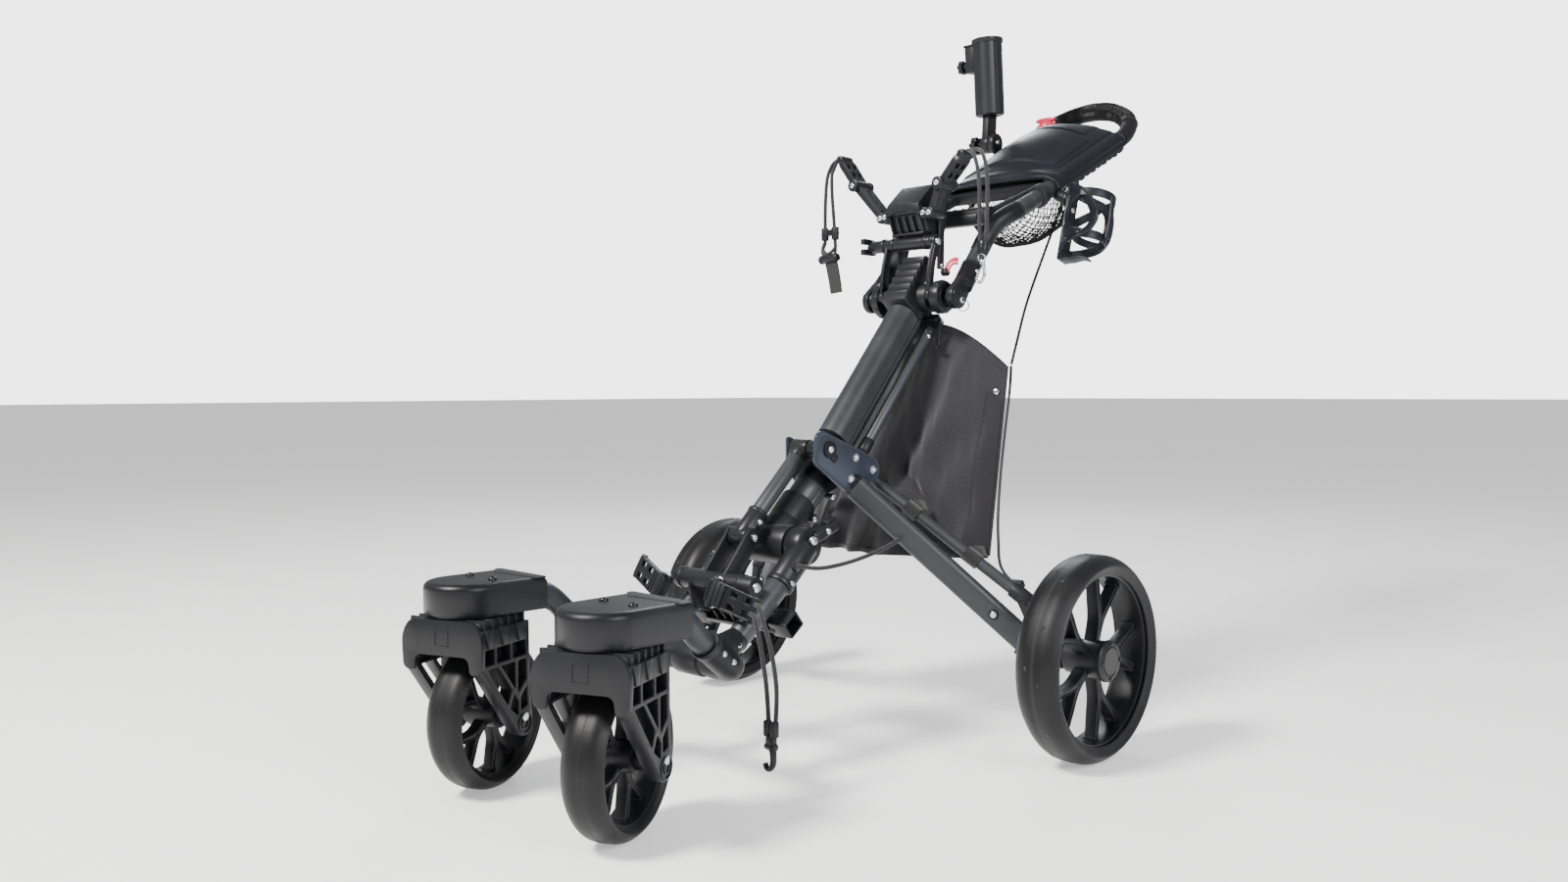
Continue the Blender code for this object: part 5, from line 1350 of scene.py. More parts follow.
def front_legs():
    for name, side in SIDES.items():
        x = side * FRONT_LEG_X
        sleeve_end = Vector((x, -0.3170, 0.2520))
        down = (sleeve_end - Vector((x, *KNUCKLE))).normalized()
        casting = [
            cross_rod(side * 0.0464, x + side * 0.010, KNUCKLE, 0.0275, 48, 0.006),
            rod((x, *KNUCKLE), sleeve_end, 0.0195, sides=44, bevel=0.002),
            rod(sleeve_end - 0.007 * down, sleeve_end + 0.001 * down, 0.0205, sides=44,
                bevel=0.001),
            block((x + side * 0.004, -0.2330, 0.3200), (0.026, 0.050, 0.014), math.radians(20),
                  0.004, 3),
            block((x + side * 0.004, -0.2180, 0.3300), (0.014, 0.022, 0.016), math.radians(20),
                  0.003, 3),
            rod((x, *LEG_BEND), (x, -0.4480, 0.1800), 0.0178, 0.0160, 40, 0.002),
            rod((x + side * 0.010, -0.2960, 0.2700), (x + side * 0.0215, -0.3040, 0.2790), 0.0060,
                sides=20),
            ball((x, *LEG_BEND), 0.0172),
        ]
        tube_part = rod((x, -0.3050, 0.2625), (x, *LEG_BEND), 0.0165, sides=40)
        bright = [
            bolt((x + side * 0.0200, KNUCKLE[0] - 0.004, KNUCKLE[1] + 0.010), (side, -0.3, 0.4),
                 0.0066, 0.0036),
            bolt((x + side * 0.0165, -0.2330, 0.3210), (side, 0, 0), 0.0048),
            bolt((x + side * 0.0185, -0.3100, 0.2560), (side, 0, 0.2), 0.0040),
            bolt((x + side * 0.0170, -0.4100, 0.1860), (side, -0.2, 0.2), 0.0046),
        ]
        finish_node(f"front_leg_{name}", "black_plastic", (CASTING, *casting), (TUBE, tube_part),
                    (STEEL, *bright))


def front_crossbeam():
    shapes = [cross_rod(-0.131, 0.131, BEAM, 0.0185, 44)]
    screws = []
    for side in SIDES.values():
        elbow = [(side * 0.118, *BEAM), (side * 0.131, -0.4735, 0.1765),
                 (side * 0.134, -0.4900, 0.1895), (side * 0.1342, -0.5140, 0.2090)]
        shapes.append(tube(elbow, 0.0192, 8, 36))
        shapes.append(ball((side * 0.1310, -0.4722, 0.1762), 0.0193))
        lip = Vector((side * 0.1341, -0.5080, 0.2042))
        out = Vector((0.0, -0.76, 0.62))
        shapes.append(rod(lip, lip + 0.010 * out.normalized(), 0.0200, sides=40))
        saddle = side * FRONT_LEG_X
        shapes.append(rod((saddle, -0.4730, 0.176), (saddle, -0.4490, 0.1798), 0.0215, sides=40,
                          bevel=0.003))
        shapes.append(cross_rod(saddle - 0.024, saddle + 0.024, BEAM, 0.0215, 40, 0.003))
        gusset = rounded([(-0.4720, 0.1950), (-0.4300, 0.1990), (-0.3980, 0.1950),
                          (-0.4150, 0.1700), (-0.4560, 0.1610)], 0.006)
        shapes.append(flat(gusset, 0.0060, side_view(saddle + side * 0.0165), bevel=0.0012))
        screws.append(bolt((saddle + side * 0.0196, -0.4460, 0.1790), (side, 0, 0), 0.0050))
        for step in (0.0, 0.020):
            screws.append(bolt((side * 0.1530, -0.4850 - step * 0.78, 0.1860 + step * 0.62),
                               (side, 0.1, 0.2), 0.0040))
    finish_node("front_crossbeam", "black_plastic", (CASTING, *shapes), (STEEL, *screws))


def caster_arms():
    for name, side in SIDES.items():
        route = [
            (side * 0.1342, -0.5136, 0.2085), (side * 0.1355, -0.5290, 0.2210),
            (side * 0.1385, -0.5480, 0.2400), (side * 0.1405, -0.5650, 0.2495),
            (side * 0.1410, -0.5890, 0.2520),
        ]
        rib = [(x, y, z - 0.0150) for x, y, z in route[:4]]
        finish_node(f"caster_arm_{name}", "tube_grey", (TUBE, tube(route, 0.0155, 8, 40)),
                    (CASTING, tube(rib, 0.0045, 5, 12)))


CRADLE_LEAN = math.radians(38)


def lower_cradle():
    """The bar for the bag's lower pads, its brackets, the strut's ears and the foot boxes."""
    shapes = [
        cross_rod(-0.0770, 0.0770, LOWER_BAR, 0.0145, 40, 0.002),
        cross_rod(-0.0700, -0.0640, LOWER_BAR, 0.0156, 40),
        cross_rod(0.0500, 0.0560, LOWER_BAR, 0.0156, 40),
    ]
    screws = [bolt((0.0772, *LOWER_BAR), (1, 0, 0), 0.0072, 0.0036),
              bolt((-0.0772, *LOWER_BAR), (-1, 0, 0), 0.0072, 0.0036)]
    for side in SIDES.values():
        shapes.append(flat(rounded(
            [(-0.3860, 0.2560), (-0.3710, 0.2710), (-0.3440, 0.2480), (-0.3240, 0.2240),
             (-0.3280, 0.2050), (-0.3680, 0.2120), (-0.3860, 0.2400)], 0.006), 0.0050,
            side_view(side * 0.0410), bevel=0.001))
        x = side * 0.0200
        ear = [*arc(STRUT_FOOT, 0.0130, -40, 140, 13), (-0.3840, 0.2620), (-0.3650, 0.2440)]
        shapes.append(flat(ear, 0.0050, side_view(x), bevel=0.001))
        shapes.append(cross_rod(x, side * 0.0265, STRUT_FOOT, 0.0070, 24))
        screws.append(bolt((side * 0.0262, *STRUT_FOOT), (side, 0, 0), 0.0050))
        for at in ((-0.3620, 0.2400), (-0.3420, 0.2190)):
            screws.append(bolt((side * 0.0438, *at), (side, 0, 0), 0.0046))
        hollow = rounded(rect(0.0150, 0.0130), 0.003)
        inside = [(0.78 * u, 0.76 * v) for u, v in hollow]
        place = (Matrix.Translation((side * 0.0800, -0.3180, 0.2010))
                 @ Matrix.Rotation(CRADLE_LEAN, 4, "X") @ side_view(0.0))
        shapes.append(flat(hollow, 0.0320, place, holes=[inside], bevel=0.0008))
        shapes.append(box((0.0030, 0.0260, 0.0220), Matrix.Translation(
            (side * 0.0660, -0.3180, 0.2010)) @ Matrix.Rotation(CRADLE_LEAN, 4, "X"), 0.001))
    shapes.append(block((0.0, -0.3290, 0.2120), (0.092, 0.012, 0.036), CRADLE_LEAN, 0.003))
    shapes.append(block((0.0, -0.3180, 0.1990), (0.140, 0.030, 0.008), CRADLE_LEAN, 0.002))
    for i in range(6):
        shapes.append(block((-0.0425 + 0.017 * i, -0.3355, 0.2060), (0.0025, 0.006, 0.030),
                            CRADLE_LEAN, 0.0006))
    finish_node("lower_cradle_bar", "black_plastic", (CASTING, *shapes), (STEEL, *screws))


# Hinge point of each lower pad, and its plate's centre from there.
LOWER_PADS = {
    "left": (Vector((-0.0720, -0.4010, 0.2430)), Vector((-0.0380, -0.0080, -0.0020))),
    "right": (Vector((0.0350, -0.4000, 0.2420)), Vector((0.0260, -0.0130, 0.0060))),
}


def lower_pads():
    for name, side in SIDES.items():
        hinge, centre = LOWER_PADS[name]
        lean = (
            Matrix.Rotation(math.radians(18), 4, "Y")
            @ Matrix.Rotation(side * math.radians(14), 4, "Z")
            @ Matrix.Rotation(math.radians(-14), 4, "X")
        )
        place = Matrix.Translation(hinge) @ lean @ Matrix.Translation(centre)
        upright = place @ UPRIGHT
        outline = rounded(rect(0.040, 0.017),
                          0.006)
        holes = [
            rounded([(side * (0.002 + 0.022 * c) + du, 0.009 - 0.018 * r + dv) for du, dv in
                     rect(0.0055, 0.0042)],
                    0.001, 2)
            for c in range(2) for r in range(2)
        ]
        shapes = [flat(outline, 0.0065, upright, holes=holes, bevel=0.0016)]
        frame_hole = [(0.90 * u, 0.84 * v) for u, v in outline]
        shapes.append(flat(outline, 0.0085, upright, holes=[frame_hole], bevel=0.0012))
        shapes += [
            rod(place @ Vector((-side * 0.030, 0.008, -0.019)),
                place @ Vector((-side * 0.030, 0.008, 0.019)), 0.0078, sides=32, bevel=0.002),
            rod(place @ Vector((-side * 0.030, -0.001, -0.0205)),
                place @ Vector((-side * 0.030, -0.001, 0.0205)), 0.0052, sides=24, bevel=0.001),
            rod(place @ Vector((side * 0.037, 0.001, -0.0180)),
                place @ Vector((side * 0.037, 0.001, 0.0180)), 0.0050, sides=24, bevel=0.001),
            box((0.020, 0.0035, 0.030), place @ Matrix.Translation((-side * 0.022, -0.0035, 0)),
                0.0012),
        ]
        for i in range(3):
            shapes.append(box((0.0022, 0.0030, 0.032), place @ Matrix.Translation(
                (-side * (0.014 + 0.007 * i), -0.0050, 0)), 0.0006))
        tips = [bolt(place @ Vector((-side * 0.030, 0.008, s * 0.0192)), lean @ Vector((0, 0, s)),
                     0.0042) for s in (-1.0, 1.0)]
        finish_node(f"lower_pad_{name}", "black_plastic", (CASTING, *shapes), (STEEL, *tips))


# ---------------------------------------------------------------- handle

HANDLE_ROUTE = [
    (0.0850, 0.0800, 0.6830), (0.0835, 0.0935, 0.6980), (0.0820, 0.1091, 0.7165),
    (0.0830, 0.1279, 0.7415), (0.0880, 0.1415, 0.7661), (0.0970, 0.1519, 0.7857),
    (0.1060, 0.1690, 0.7990), (0.1120, 0.1930, 0.8108), (0.1110, 0.2288, 0.8263),
    (0.1072, 0.2850, 0.8526), (0.1070, 0.3300, 0.8745), (0.1070, 0.4400, 0.9282),
    (0.1070, 0.5250, 0.9700),
]
GRIP_ROUTE = [
    (0.1070, 0.5272, 0.9711), (0.1080, 0.5480, 0.9850), (0.1010, 0.5720, 1.0060),
    (0.0800, 0.5900, 1.0260), (0.0450, 0.6050, 1.0430),
]


def handle_tubes():
    for name, side in SIDES.items():
        route = [mirrored(point, side) for point in HANDLE_ROUTE]
        main = tube(route, 0.0140, 8, 36)
        sleeve = tube(route[3:8], 0.0152, 8, 36)
        cuff = tube(route[7:9], 0.0147, 8, 36)
        foot = flat(
            [*arc(HUB, 0.0200, 150, 330, 20), (0.1060, 0.6980), (0.0900, 0.7130)], 0.0110,
            side_view(side * 0.0855), bevel=0.002)
        boss = cross_rod(side * 0.0760, side * 0.0930, HUB, 0.0160, 36, 0.002)
        socket = tube(route[:3], 0.0163, 6, 36)
        outer = side * 0.0915
        bolts = [
            bolt((outer, HUB[0] + 0.006, HUB[1] - 0.006), (side, 0, 0), 0.0058, 0.0034),
            bolt((side * 0.0985, 0.1010, 0.7060), (side, 0, 0), 0.0046),
        ]
        if side > 0:
            bolts.append(torus(
                0.0092, 0.0010, axes_matrix((0.0850, 0.0815, 0.6530), (0.7, -0.7, 0.1)), 32))
        finish_node(f"handle_tube_{name}", "tube_grey", (TUBE, main, cuff),
                    (CASTING, sleeve, foot, boss, socket), (STEEL, *bolts))


KNURL_STARTS = 5
KNURL_RATE = 900  # radians of pattern in a metre along the grip
KNURLED_HALF = 0.1000


def handle_grip():
    """The loop handle: bare plastic at its ends and a diagonal knurl round its middle."""
    left = [mirrored(point, -1) for point in GRIP_ROUTE]
    right = [mirrored(point, 1) for point in reversed(GRIP_ROUTE)]
    route = smooth_route([*left, Vector((0.0, 0.6120, 1.0500)), *right], 26)
    count = 40
    shape = sweep(route, circle(0.0150, count))
    shape.verts.ensure_lookup_table()
    run = 0.0
    for i, centre in enumerate(route):
        if i:
            run += (centre - route[i - 1]).length
        held = max(0.0, min(1.0, (KNURLED_HALF - abs(centre.x)) / 0.006))
        for j in range(count):
            vert = shape.verts[i * count + j]
            around, along = KNURL_STARTS * math.tau * j / count, KNURL_RATE * run
            weave = math.sin(around + along) * math.sin(around - along)
            swell = held * (0.0005 + 0.0016 * max(-1.0, min(1.0, 2.2 * weave)))
            vert.co += swell * (vert.co - centre).normalized()
    collars = []
    for side in SIDES.values():
        at = mirrored((0.1010, 0.5720, 1.0060), side)
        along = (mirrored(GRIP_ROUTE[3], side) - mirrored(GRIP_ROUTE[1], side)).normalized()
        collars.append(rod(at - 0.003 * along, at + 0.003 * along, 0.0166, sides=36, bevel=0.001))
    finish_node("handle_grip", "grip_rubber", (GRIP, shape), (PLASTIC, *collars))


HOOD_HALF = 0.1250
HOOD_REAR = 0.2610


def hood_point(u, v, lift=0.0):
    """The console's domed hood: u across from left to right, v from its front to its rear."""
    across = 2 * u - 1
    x = HOOD_HALF * math.copysign(math.sin(math.pi / 2 * abs(across)) ** 0.9, across)
    crown = 0.0170 + 0.0400 * math.sin(math.pi / 2 * min(1.0, v / 0.6)) ** 0.8
    crown -= 0.0120 * max(0.0, (v - 0.75) / 0.25) ** 2
    shoulder = -0.0060 + 0.0260 * max(0.0, 1 - (x / HOOD_HALF) ** 10) ** 0.5
    arch = max(0.0, 1 - (x / 0.1080) ** 2) ** 1.3
    front = 0.0300 - 0.0140 * (x / HOOD_HALF) ** 2
    along = front + (HOOD_REAR - front) * v
    return on_handle(x, along, shoulder + max(0.0, crown - 0.0195) * arch + lift)


def step(value, edge, width):
    """0 below the edge and 1 above it, smoothly over the width."""
    t = max(0.0, min(1.0, (value - edge) / width + 0.5))
    return t * t * (3 - 2 * t)


def hood_relief(u, v):
    """The raised panel in the hood's middle, its arched ends, and the visor's roll."""
    x = 2 * u - 1
    front_arc = 0.20 - 0.10 * x * x
    rear_arc = 0.72 + 0.06 * x * x
    panel = step(v, front_arc, 0.018) * (1 - step(v, rear_arc, 0.018)) * (
        1 - step(abs(x), 0.52, 0.020))
    rear_panel = step(v, rear_arc + 0.045, 0.018) * (1 - step(abs(x), 0.40, 0.02))
    side_groove = math.exp(-((abs(x) - 0.60) / 0.010) ** 2) * step(v, 0.16, 0.03)
    visor = math.exp(-((v - 0.045) / 0.035) ** 2) * (1 - 0.5 * x * x)
    return 0.0026 * panel + 0.0018 * rear_panel - 0.0022 * side_groove + 0.0034 * visor


def console():
    """The tray between the tubes, and the domed hood over it."""
    outer = rounded(rect(0.1060, 0.1225),
                    0.010)
    pocket = rounded(rect(0.0850, 0.0950),
                     0.014)
    place = at_handle(0.0, 0.1350, 0.0)
    walls = flat(outer, 0.0200, place, holes=[pocket], bevel=0.0015)
    floor = flat([(1.02 * u, 1.02 * v) for u, v in pocket], 0.0045,
                 at_handle(0.0, 0.1350, -0.0072), bevel=0.0)
    lips = flat([(1.03 * u, 1.02 * v) for u, v in pocket], 0.0030, at_handle(0.0, 0.1350, 0.0108),
                holes=[pocket], bevel=0.0008)
    beam = [
        block((0.0, 0.1560, 0.8010), (0.1600, 0.0200, 0.0260), 0.0, 0.004, 3),
        block((0.0, 0.1590, 0.8150), (0.1640, 0.0280, 0.0040), math.radians(8), 0.001),
        block((0.0, 0.1470, 0.7990), (0.1300, 0.0050, 0.0120), 0.0, 0.0015),
    ]
    for i in range(9):
        beam.append(block((-0.064 + 0.016 * i, 0.1545, 0.8172), (0.0040, 0.0040, 0.0016),
                          math.radians(8), 0.0006))
    for side in SIDES.values():
        beam.append(bar((side * 0.0730, 0.1560, 0.8010), on_handle(side * 0.0860, 0.0200, 0.0),
                        oval(0.012, 0.018, 8), bevel=0.002))
        collar = mirrored((0.1092, 0.2520, 0.8370), side)
        end = mirrored((0.1075, 0.2750, 0.8480), side)
        beam.append(rod(collar, end, 0.0195, 0.0180, 40, 0.004))
        for i in range(9):
            beam.append(box((0.0060, 0.0130, 0.0085), at_handle(
                side * 0.1225, 0.0750 + 0.0205 * i, -0.0100 - 0.001 * (i % 2)), 0.0016))
        beam.append(box((0.0050, 0.2050, 0.0170), at_handle(side * 0.1225, 0.1500, -0.0040), 0.002))
        beam.append(box((0.0120, 0.0300, 0.0160), at_handle(side * 0.0880, 0.2700, 0.0), 0.003, 3))
    brake = on_handle(-0.0580, 0.3133, 0.0)
    beam += [
        box((0.0300, 0.0860, 0.0080), at_handle(-0.0580, 0.2850, -0.004), 0.003, 3),
        rod(on_handle(-0.0580, 0.3133, -0.006), brake + 0.0360 * OFF_SLOPE, 0.0080, sides=28),
        rod(brake + 0.0240 * OFF_SLOPE, brake + 0.0362 * OFF_SLOPE, 0.0150, sides=36, bevel=0.002),
    ]
    screws = [bolt((side * 0.0700, 0.1452, 0.8010), (0, -1, 0), 0.0040) for side in (-1.0, 1.0)]
    finish_node("console_tray", "console_black", (CASTING, walls, floor, lips, *beam),
                (DARK_STEEL, *screws))

    def hood(u, v):
        return hood_point(u, v, hood_relief(u, v))

    shell = surface(hood, 120, 96, 0.0024)
    roll = [hood_point(0.03 + 0.94 * i / 48, 0.0, -0.001) for i in range(49)]
    brow = sweep(roll, rounded(rect(0.0038, 0.0030), 0.002, 3), across=UP_SLOPE)
    finish_node("console_lid", "console_black", (HOOD, trimmed(shell), brow))


def trimmed(shell):
    """Takes out the hood's rear left corner, where the umbrella arm's mount stands."""
    low, high = on_handle(-0.1050, 0.1750, 0.0), on_handle(0.0, 0.2950, 0.0)
    gone = [
        face for face in shell.faces
        if face.calc_center_median().x < low.x and low.y < face.calc_center_median().y < high.y
    ]
    bmesh.ops.delete(shell, geom=gone, context="FACES")
    rim = [edge for edge in shell.edges if edge.is_boundary]
    if rim:
        bmesh.ops.bridge_loops(shell, edges=rim)
    return shell


NET_HALF_WIDTH, NET_HALF_LENGTH, NET_DEPTH = 0.0880, 0.1250, 0.0920
NET_COLUMNS, NET_ROWS = 20, 28
NET_CORD = 0.0026


def storage_net():
    """The net pouch under the console: knotted cords round open cells, with a hem on top."""
    place = Matrix.Translation(on_handle(0.0, 0.0960, -0.0230)) @ SLOPE
    columns, rows = NET_COLUMNS, NET_ROWS
    grid = []
    shape = new_shape()

    def pouch(s, t):
        x, y = s * math.sqrt(1 - t * t / 2), t * math.sqrt(1 - s * s / 2)
        depth = math.sqrt(max(0.0, 1 - x * x - y * y))
        sag = 1.0 + 0.04 * noise.noise(Vector((3 * x, 3 * y, 0.4)))
        return place @ Vector((NET_HALF_WIDTH * x, NET_HALF_LENGTH * y, -NET_DEPTH * depth * sag))

    for j in range(rows + 1):
        shift = (0.3 if j % 2 else -0.3) / columns
        grid.append([
            shape.verts.new(pouch(
                -1 + 2 * i / columns + shift * (0 < i < columns), -1 + 2 * j / rows))
            for i in range(columns + 1)
        ])
    for j in range(rows):
        for i in range(columns):
            shape.faces.new((grid[j][i], grid[j][i + 1], grid[j + 1][i + 1], grid[j + 1][i]))
    mesh = bpy.data.meshes.new("net")
    shape.to_mesh(mesh)
    shape.free()
    helper = bpy.data.objects.new("net", mesh)
    bpy.context.scene.collection.objects.link(helper)
    wire = helper.modifiers.new("cords", "WIREFRAME")
    wire.thickness = NET_CORD
    wire.use_even_offset = False
    graph = bpy.context.evaluated_depsgraph_get()
    netting = new_shape()
    netting.from_mesh(helper.evaluated_get(graph).to_mesh())
    bpy.data.objects.remove(helper, do_unlink=True)
    hem = sweep([place @ Vector((0.0882 * math.cos(a), 0.1252 * math.sin(a), 0.0))
                 for a in [math.tau * i / 72 for i in range(73)]],
                rounded(rect(0.0010, 0.0045), 0.0005, 2), across=OFF_SLOPE)
    ties = [
        sweep([place @ Vector((side * 0.086, y, 0.0)), place @ Vector((side * 0.097, y, 0.010))],
              circle(0.0016, 8)) for side in (-1.0, 1.0) for y in (-0.045, 0.0, 0.045)
    ]
    return finish_node("storage_net", "net", (NETTING, netting), (HEM, hem), (NETTING, *ties))


def bottle_cage():
    """The moulded cage: a back spine, two swept wings, an outer loop and a foot tab."""
    low, high = Vector((0.1440, 0.2780, 0.7330)), Vector((0.1440, 0.3120, 0.8500))
    up = (high - low).normalized()
    rear = Vector((0.0, up.z, -up.y))

    def ring_point(angle, share, radius):
        centre = low + share * (high - low) + Vector((radius, 0.0, 0.0))
        a = math.radians(angle)
        return centre + radius * (-math.cos(a) * Vector((1, 0, 0)) + math.sin(a) * rear)

    spine = bar(low - 0.002 * up, high + 0.004 * up, rounded(
        [(-0.0035, -0.0150), (0.0035, -0.0130), (0.0035, 0.0130), (-0.0035, 0.0150)], 0.002),
        bevel=0.001)
    band = rounded(rect(0.0080, 0.0021),
                   0.0015, 3)
    shapes = [spine]
    for edge in (-1.0, 1.0):
        wing = [ring_point(edge * a, s, 0.0355) for a, s in (
            (4, 0.97), (30, 0.98), (62, 0.93), (95, 0.84), (122, 0.70), (138, 0.52), (128, 0.34),
            (100, 0.24), (65, 0.18), (30, 0.12), (4, 0.10))]
        shapes.append(sweep(smooth_route(wing, 8), band, across=up))
        brace = [ring_point(edge * a, s, 0.0350) for a, s in (
            (8, 0.52), (35, 0.62), (66, 0.74), (92, 0.83))]
        shapes.append(sweep(smooth_route(brace, 6), band, across=up, size=lambda t: 1.0 - 0.25 * t))
        lower = [ring_point(edge * a, s, 0.0350) for a, s in ((8, 0.46), (40, 0.36), (80, 0.30),
                                                              (108, 0.27))]
        shapes.append(sweep(smooth_route(lower, 6), band, across=up, size=lambda t: 0.9))
    front = [ring_point(a, 0.84, 0.0370) for a in range(92, 269, 8)]
    shapes.append(sweep(front, band, across=up, size=lambda t: 0.9))
    foot_loop = [ring_point(a, 0.26, 0.0350) for a in range(100, 261, 8)]
    shapes.append(sweep(foot_loop, band, across=up, size=lambda t: 0.9))
    link = [ring_point(180, s, 0.0362 + 0.0026 * math.sin(math.pi * s)) for s in
            (0.26, 0.36, 0.48, 0.60, 0.72, 0.84)]
    shapes.append(sweep(smooth_route(link, 5), oval(0.0055, 0.0110, 8)))
    tab = [low + Vector((-0.002, 0, 0)), low + Vector((0.016, 0, -0.001)),
           low + Vector((0.036, 0.0, 0.0005)), low + Vector((0.050, 0.0, -0.003))]
    shapes.append(sweep(smooth_route(tab, 6), rounded(
        rect(0.0120, 0.0020), 0.001, 2),
        across=rear, size=lambda t: 1.0 - 0.35 * t))
    clamp = [
        rod((0.1180, 0.3042, 0.8465), (0.1435, 0.3020, 0.8340), 0.0098, sides=28, bevel=0.002),
        rod((0.1330, 0.3030, 0.8392), (0.1410, 0.3022, 0.8352), 0.0125, sides=28, bevel=0.002),
    ]
    direction = (Vector(HANDLE_ROUTE[10]) - Vector(HANDLE_ROUTE[9])).normalized()
    hold = Vector((0.1071, 0.3050, 0.8623))
    clamp.append(turned([(0.0142, 0.010), (0.0172, 0.010), (0.0178, 0.008), (0.0178, -0.008),
                         (0.0172, -0.010), (0.0142, -0.010)], axes_matrix(hold, direction), 40))
    screws = [bolt(low + s * (high - low) + Vector((0.0036, 0, 0)), (1, 0, 0), 0.0045)
              for s in (0.30, 0.72)]
    finish_node("bottle_cage", "black_plastic", (HOOD, *shapes), (CASTING, *clamp),
                (STEEL, *screws))


def star_knob(place, radius, depth, lobes=6):
    """A hand knob with round lobes, its axis along the place's z."""
    outline = []
    for i in range(lobes * 10):
        a = math.tau * i / (lobes * 10)
        reach = radius - 0.16 * radius * (1 - math.cos(lobes * a)) / 2 * 1.4
        outline.append((reach * math.cos(a), reach * math.sin(a)))
    disc = flat(outline, depth, place, bevel=0.0022, segments=3)
    hat = turned([(0.0, depth * 0.72), (0.35 * radius, depth * 0.70), (0.5 * radius, depth * 0.5),
                  (0.55 * radius, 0.0), (0.0, 0.0)], place, 28, closed=False)
    return [disc, hat]


def umbrella_holder():
    base = (CUP_X, *TILT_PIVOT)
    mount = [
        cross_rod(CUP_X + 0.0215, CUP_X + 0.0083, TILT_PIVOT, 0.0185, 40, 0.003),
        bar((CUP_X + 0.0135, *TILT_PIVOT), (CUP_X + 0.0135, 0.4860, 0.9620),
            oval(0.0105, 0.026, 12), bevel=0.002),
        block((CUP_X + 0.0160, 0.4820, 0.9640), (0.026, 0.050, 0.010), HANDLE_SLOPE, 0.003, 3),
        turned([(0.0100, 0.0006), (0.0115, 0.0022), (0.0140, 0.0022), (0.0152, 0.0006)],
               axes_matrix((CUP_X + 0.0192, *TILT_PIVOT), (1, 0, 0), (0, 1, 0)), 36),
    ]
    hold = Vector((-0.1070, 0.4880, 0.9518))
    mount.append(turned([(0.0142, 0.014), (0.0174, 0.014), (0.0182, 0.011), (0.0182, -0.011),
                         (0.0174, -0.014), (0.0142, -0.014)],
                        axes_matrix(hold, UP_SLOPE), 40))
    finish_node("umbrella_mount", "black_plastic", (CASTING, *mount),
                (STEEL, bolt((CUP_X + 0.0214, *TILT_PIVOT), (1, 0, 0), 0.0052)))

    foot = Vector((CUP_X, 0.4682, 1.0426))
    axis = Vector((0.0, -0.0105, 0.1422)).normalized()
    place = axes_matrix(foot, axis)
    radius, height = 0.0275, 0.1430
    fluted = []
    for i in range(96):
        a = math.tau * i / 96
        groove = 0.0007 * sum(math.exp(-((i - g) / 0.9) ** 2) for g in (6, 26, 42, 54, 70, 90))
        fluted.append(((radius - groove) * math.cos(a), (radius - groove) * math.sin(a)))
    cup = [
        flat(fluted, height - 0.010,
             place @ Matrix.Translation((0, 0, (height - 0.010) / 2 + 0.002)),
             holes=[circle(radius - 0.0025, 64)], bevel=0.0),
        turned([(0.0, 0.006), (radius - 0.002, 0.006), (radius - 0.001, 0.004),
                (radius - 0.001, 0.002), (radius - 0.003, 0.0), (0.0, 0.0)], place, 56,
               closed=False),
        turned([(radius - 0.0025, height), (radius + 0.0008, height + 0.0004),
                (radius + 0.0022, height - 0.0010), (radius + 0.0022, height - 0.0060),
                (radius + 0.0008, height - 0.0085), (radius - 0.0025, height - 0.0085)], place, 56),
    ]
    arm = [
        bar(base, foot + 0.004 * axis, rounded(
            rect(0.0070, 0.0150), 0.003),
            bevel=0.001),
        bar(Vector(base) + Vector((-0.0075, 0, 0)), foot + Vector((-0.0075, 0, 0)), rounded(
            rect(0.0018, 0.0090), 0.001)),
        cross_rod(CUP_X - 0.0082, CUP_X + 0.0079, TILT_PIVOT, 0.0175, 40, 0.002),
        cross_rod(CUP_X - 0.0230, CUP_X - 0.0070, TILT_PIVOT, 0.0062, 24),
    ]
    arm += star_knob(axes_matrix((CUP_X - 0.0270, *TILT_PIVOT), (-1, 0, 0), (0, 1, 0)), 0.0180,
                     0.0120)
    side_foot = foot + 0.100 * axis + Vector((-radius - 0.0085, 0.0, 0.0))
    clamp = [
        bar(side_foot - 0.014 * axis, side_foot + 0.036 * axis, rounded(
            [(-0.0095, -0.0115), (0.0105, -0.0115), (0.0105, 0.0115), (-0.0095, 0.0115)], 0.003),
            bevel=0.0015),
        bar(side_foot + 0.034 * axis, side_foot + 0.038 * axis, rounded(
            [(-0.0115, -0.0130), (0.0105, -0.0130), (0.0105, 0.0130), (-0.0115, 0.0130)], 0.003)),
        rod(side_foot + Vector((-0.008, 0, 0)), side_foot + Vector((-0.020, 0, 0)), 0.0060,
            sides=24),
    ]
    clamp += star_knob(axes_matrix(side_foot + Vector((-0.0225, 0, 0)), (-1, 0, 0), (0, 1, 0)),
                       0.0135, 0.0100)
    finish_node("umbrella_cup", "black_plastic", (CASTING, *cup, *arm, *clamp))


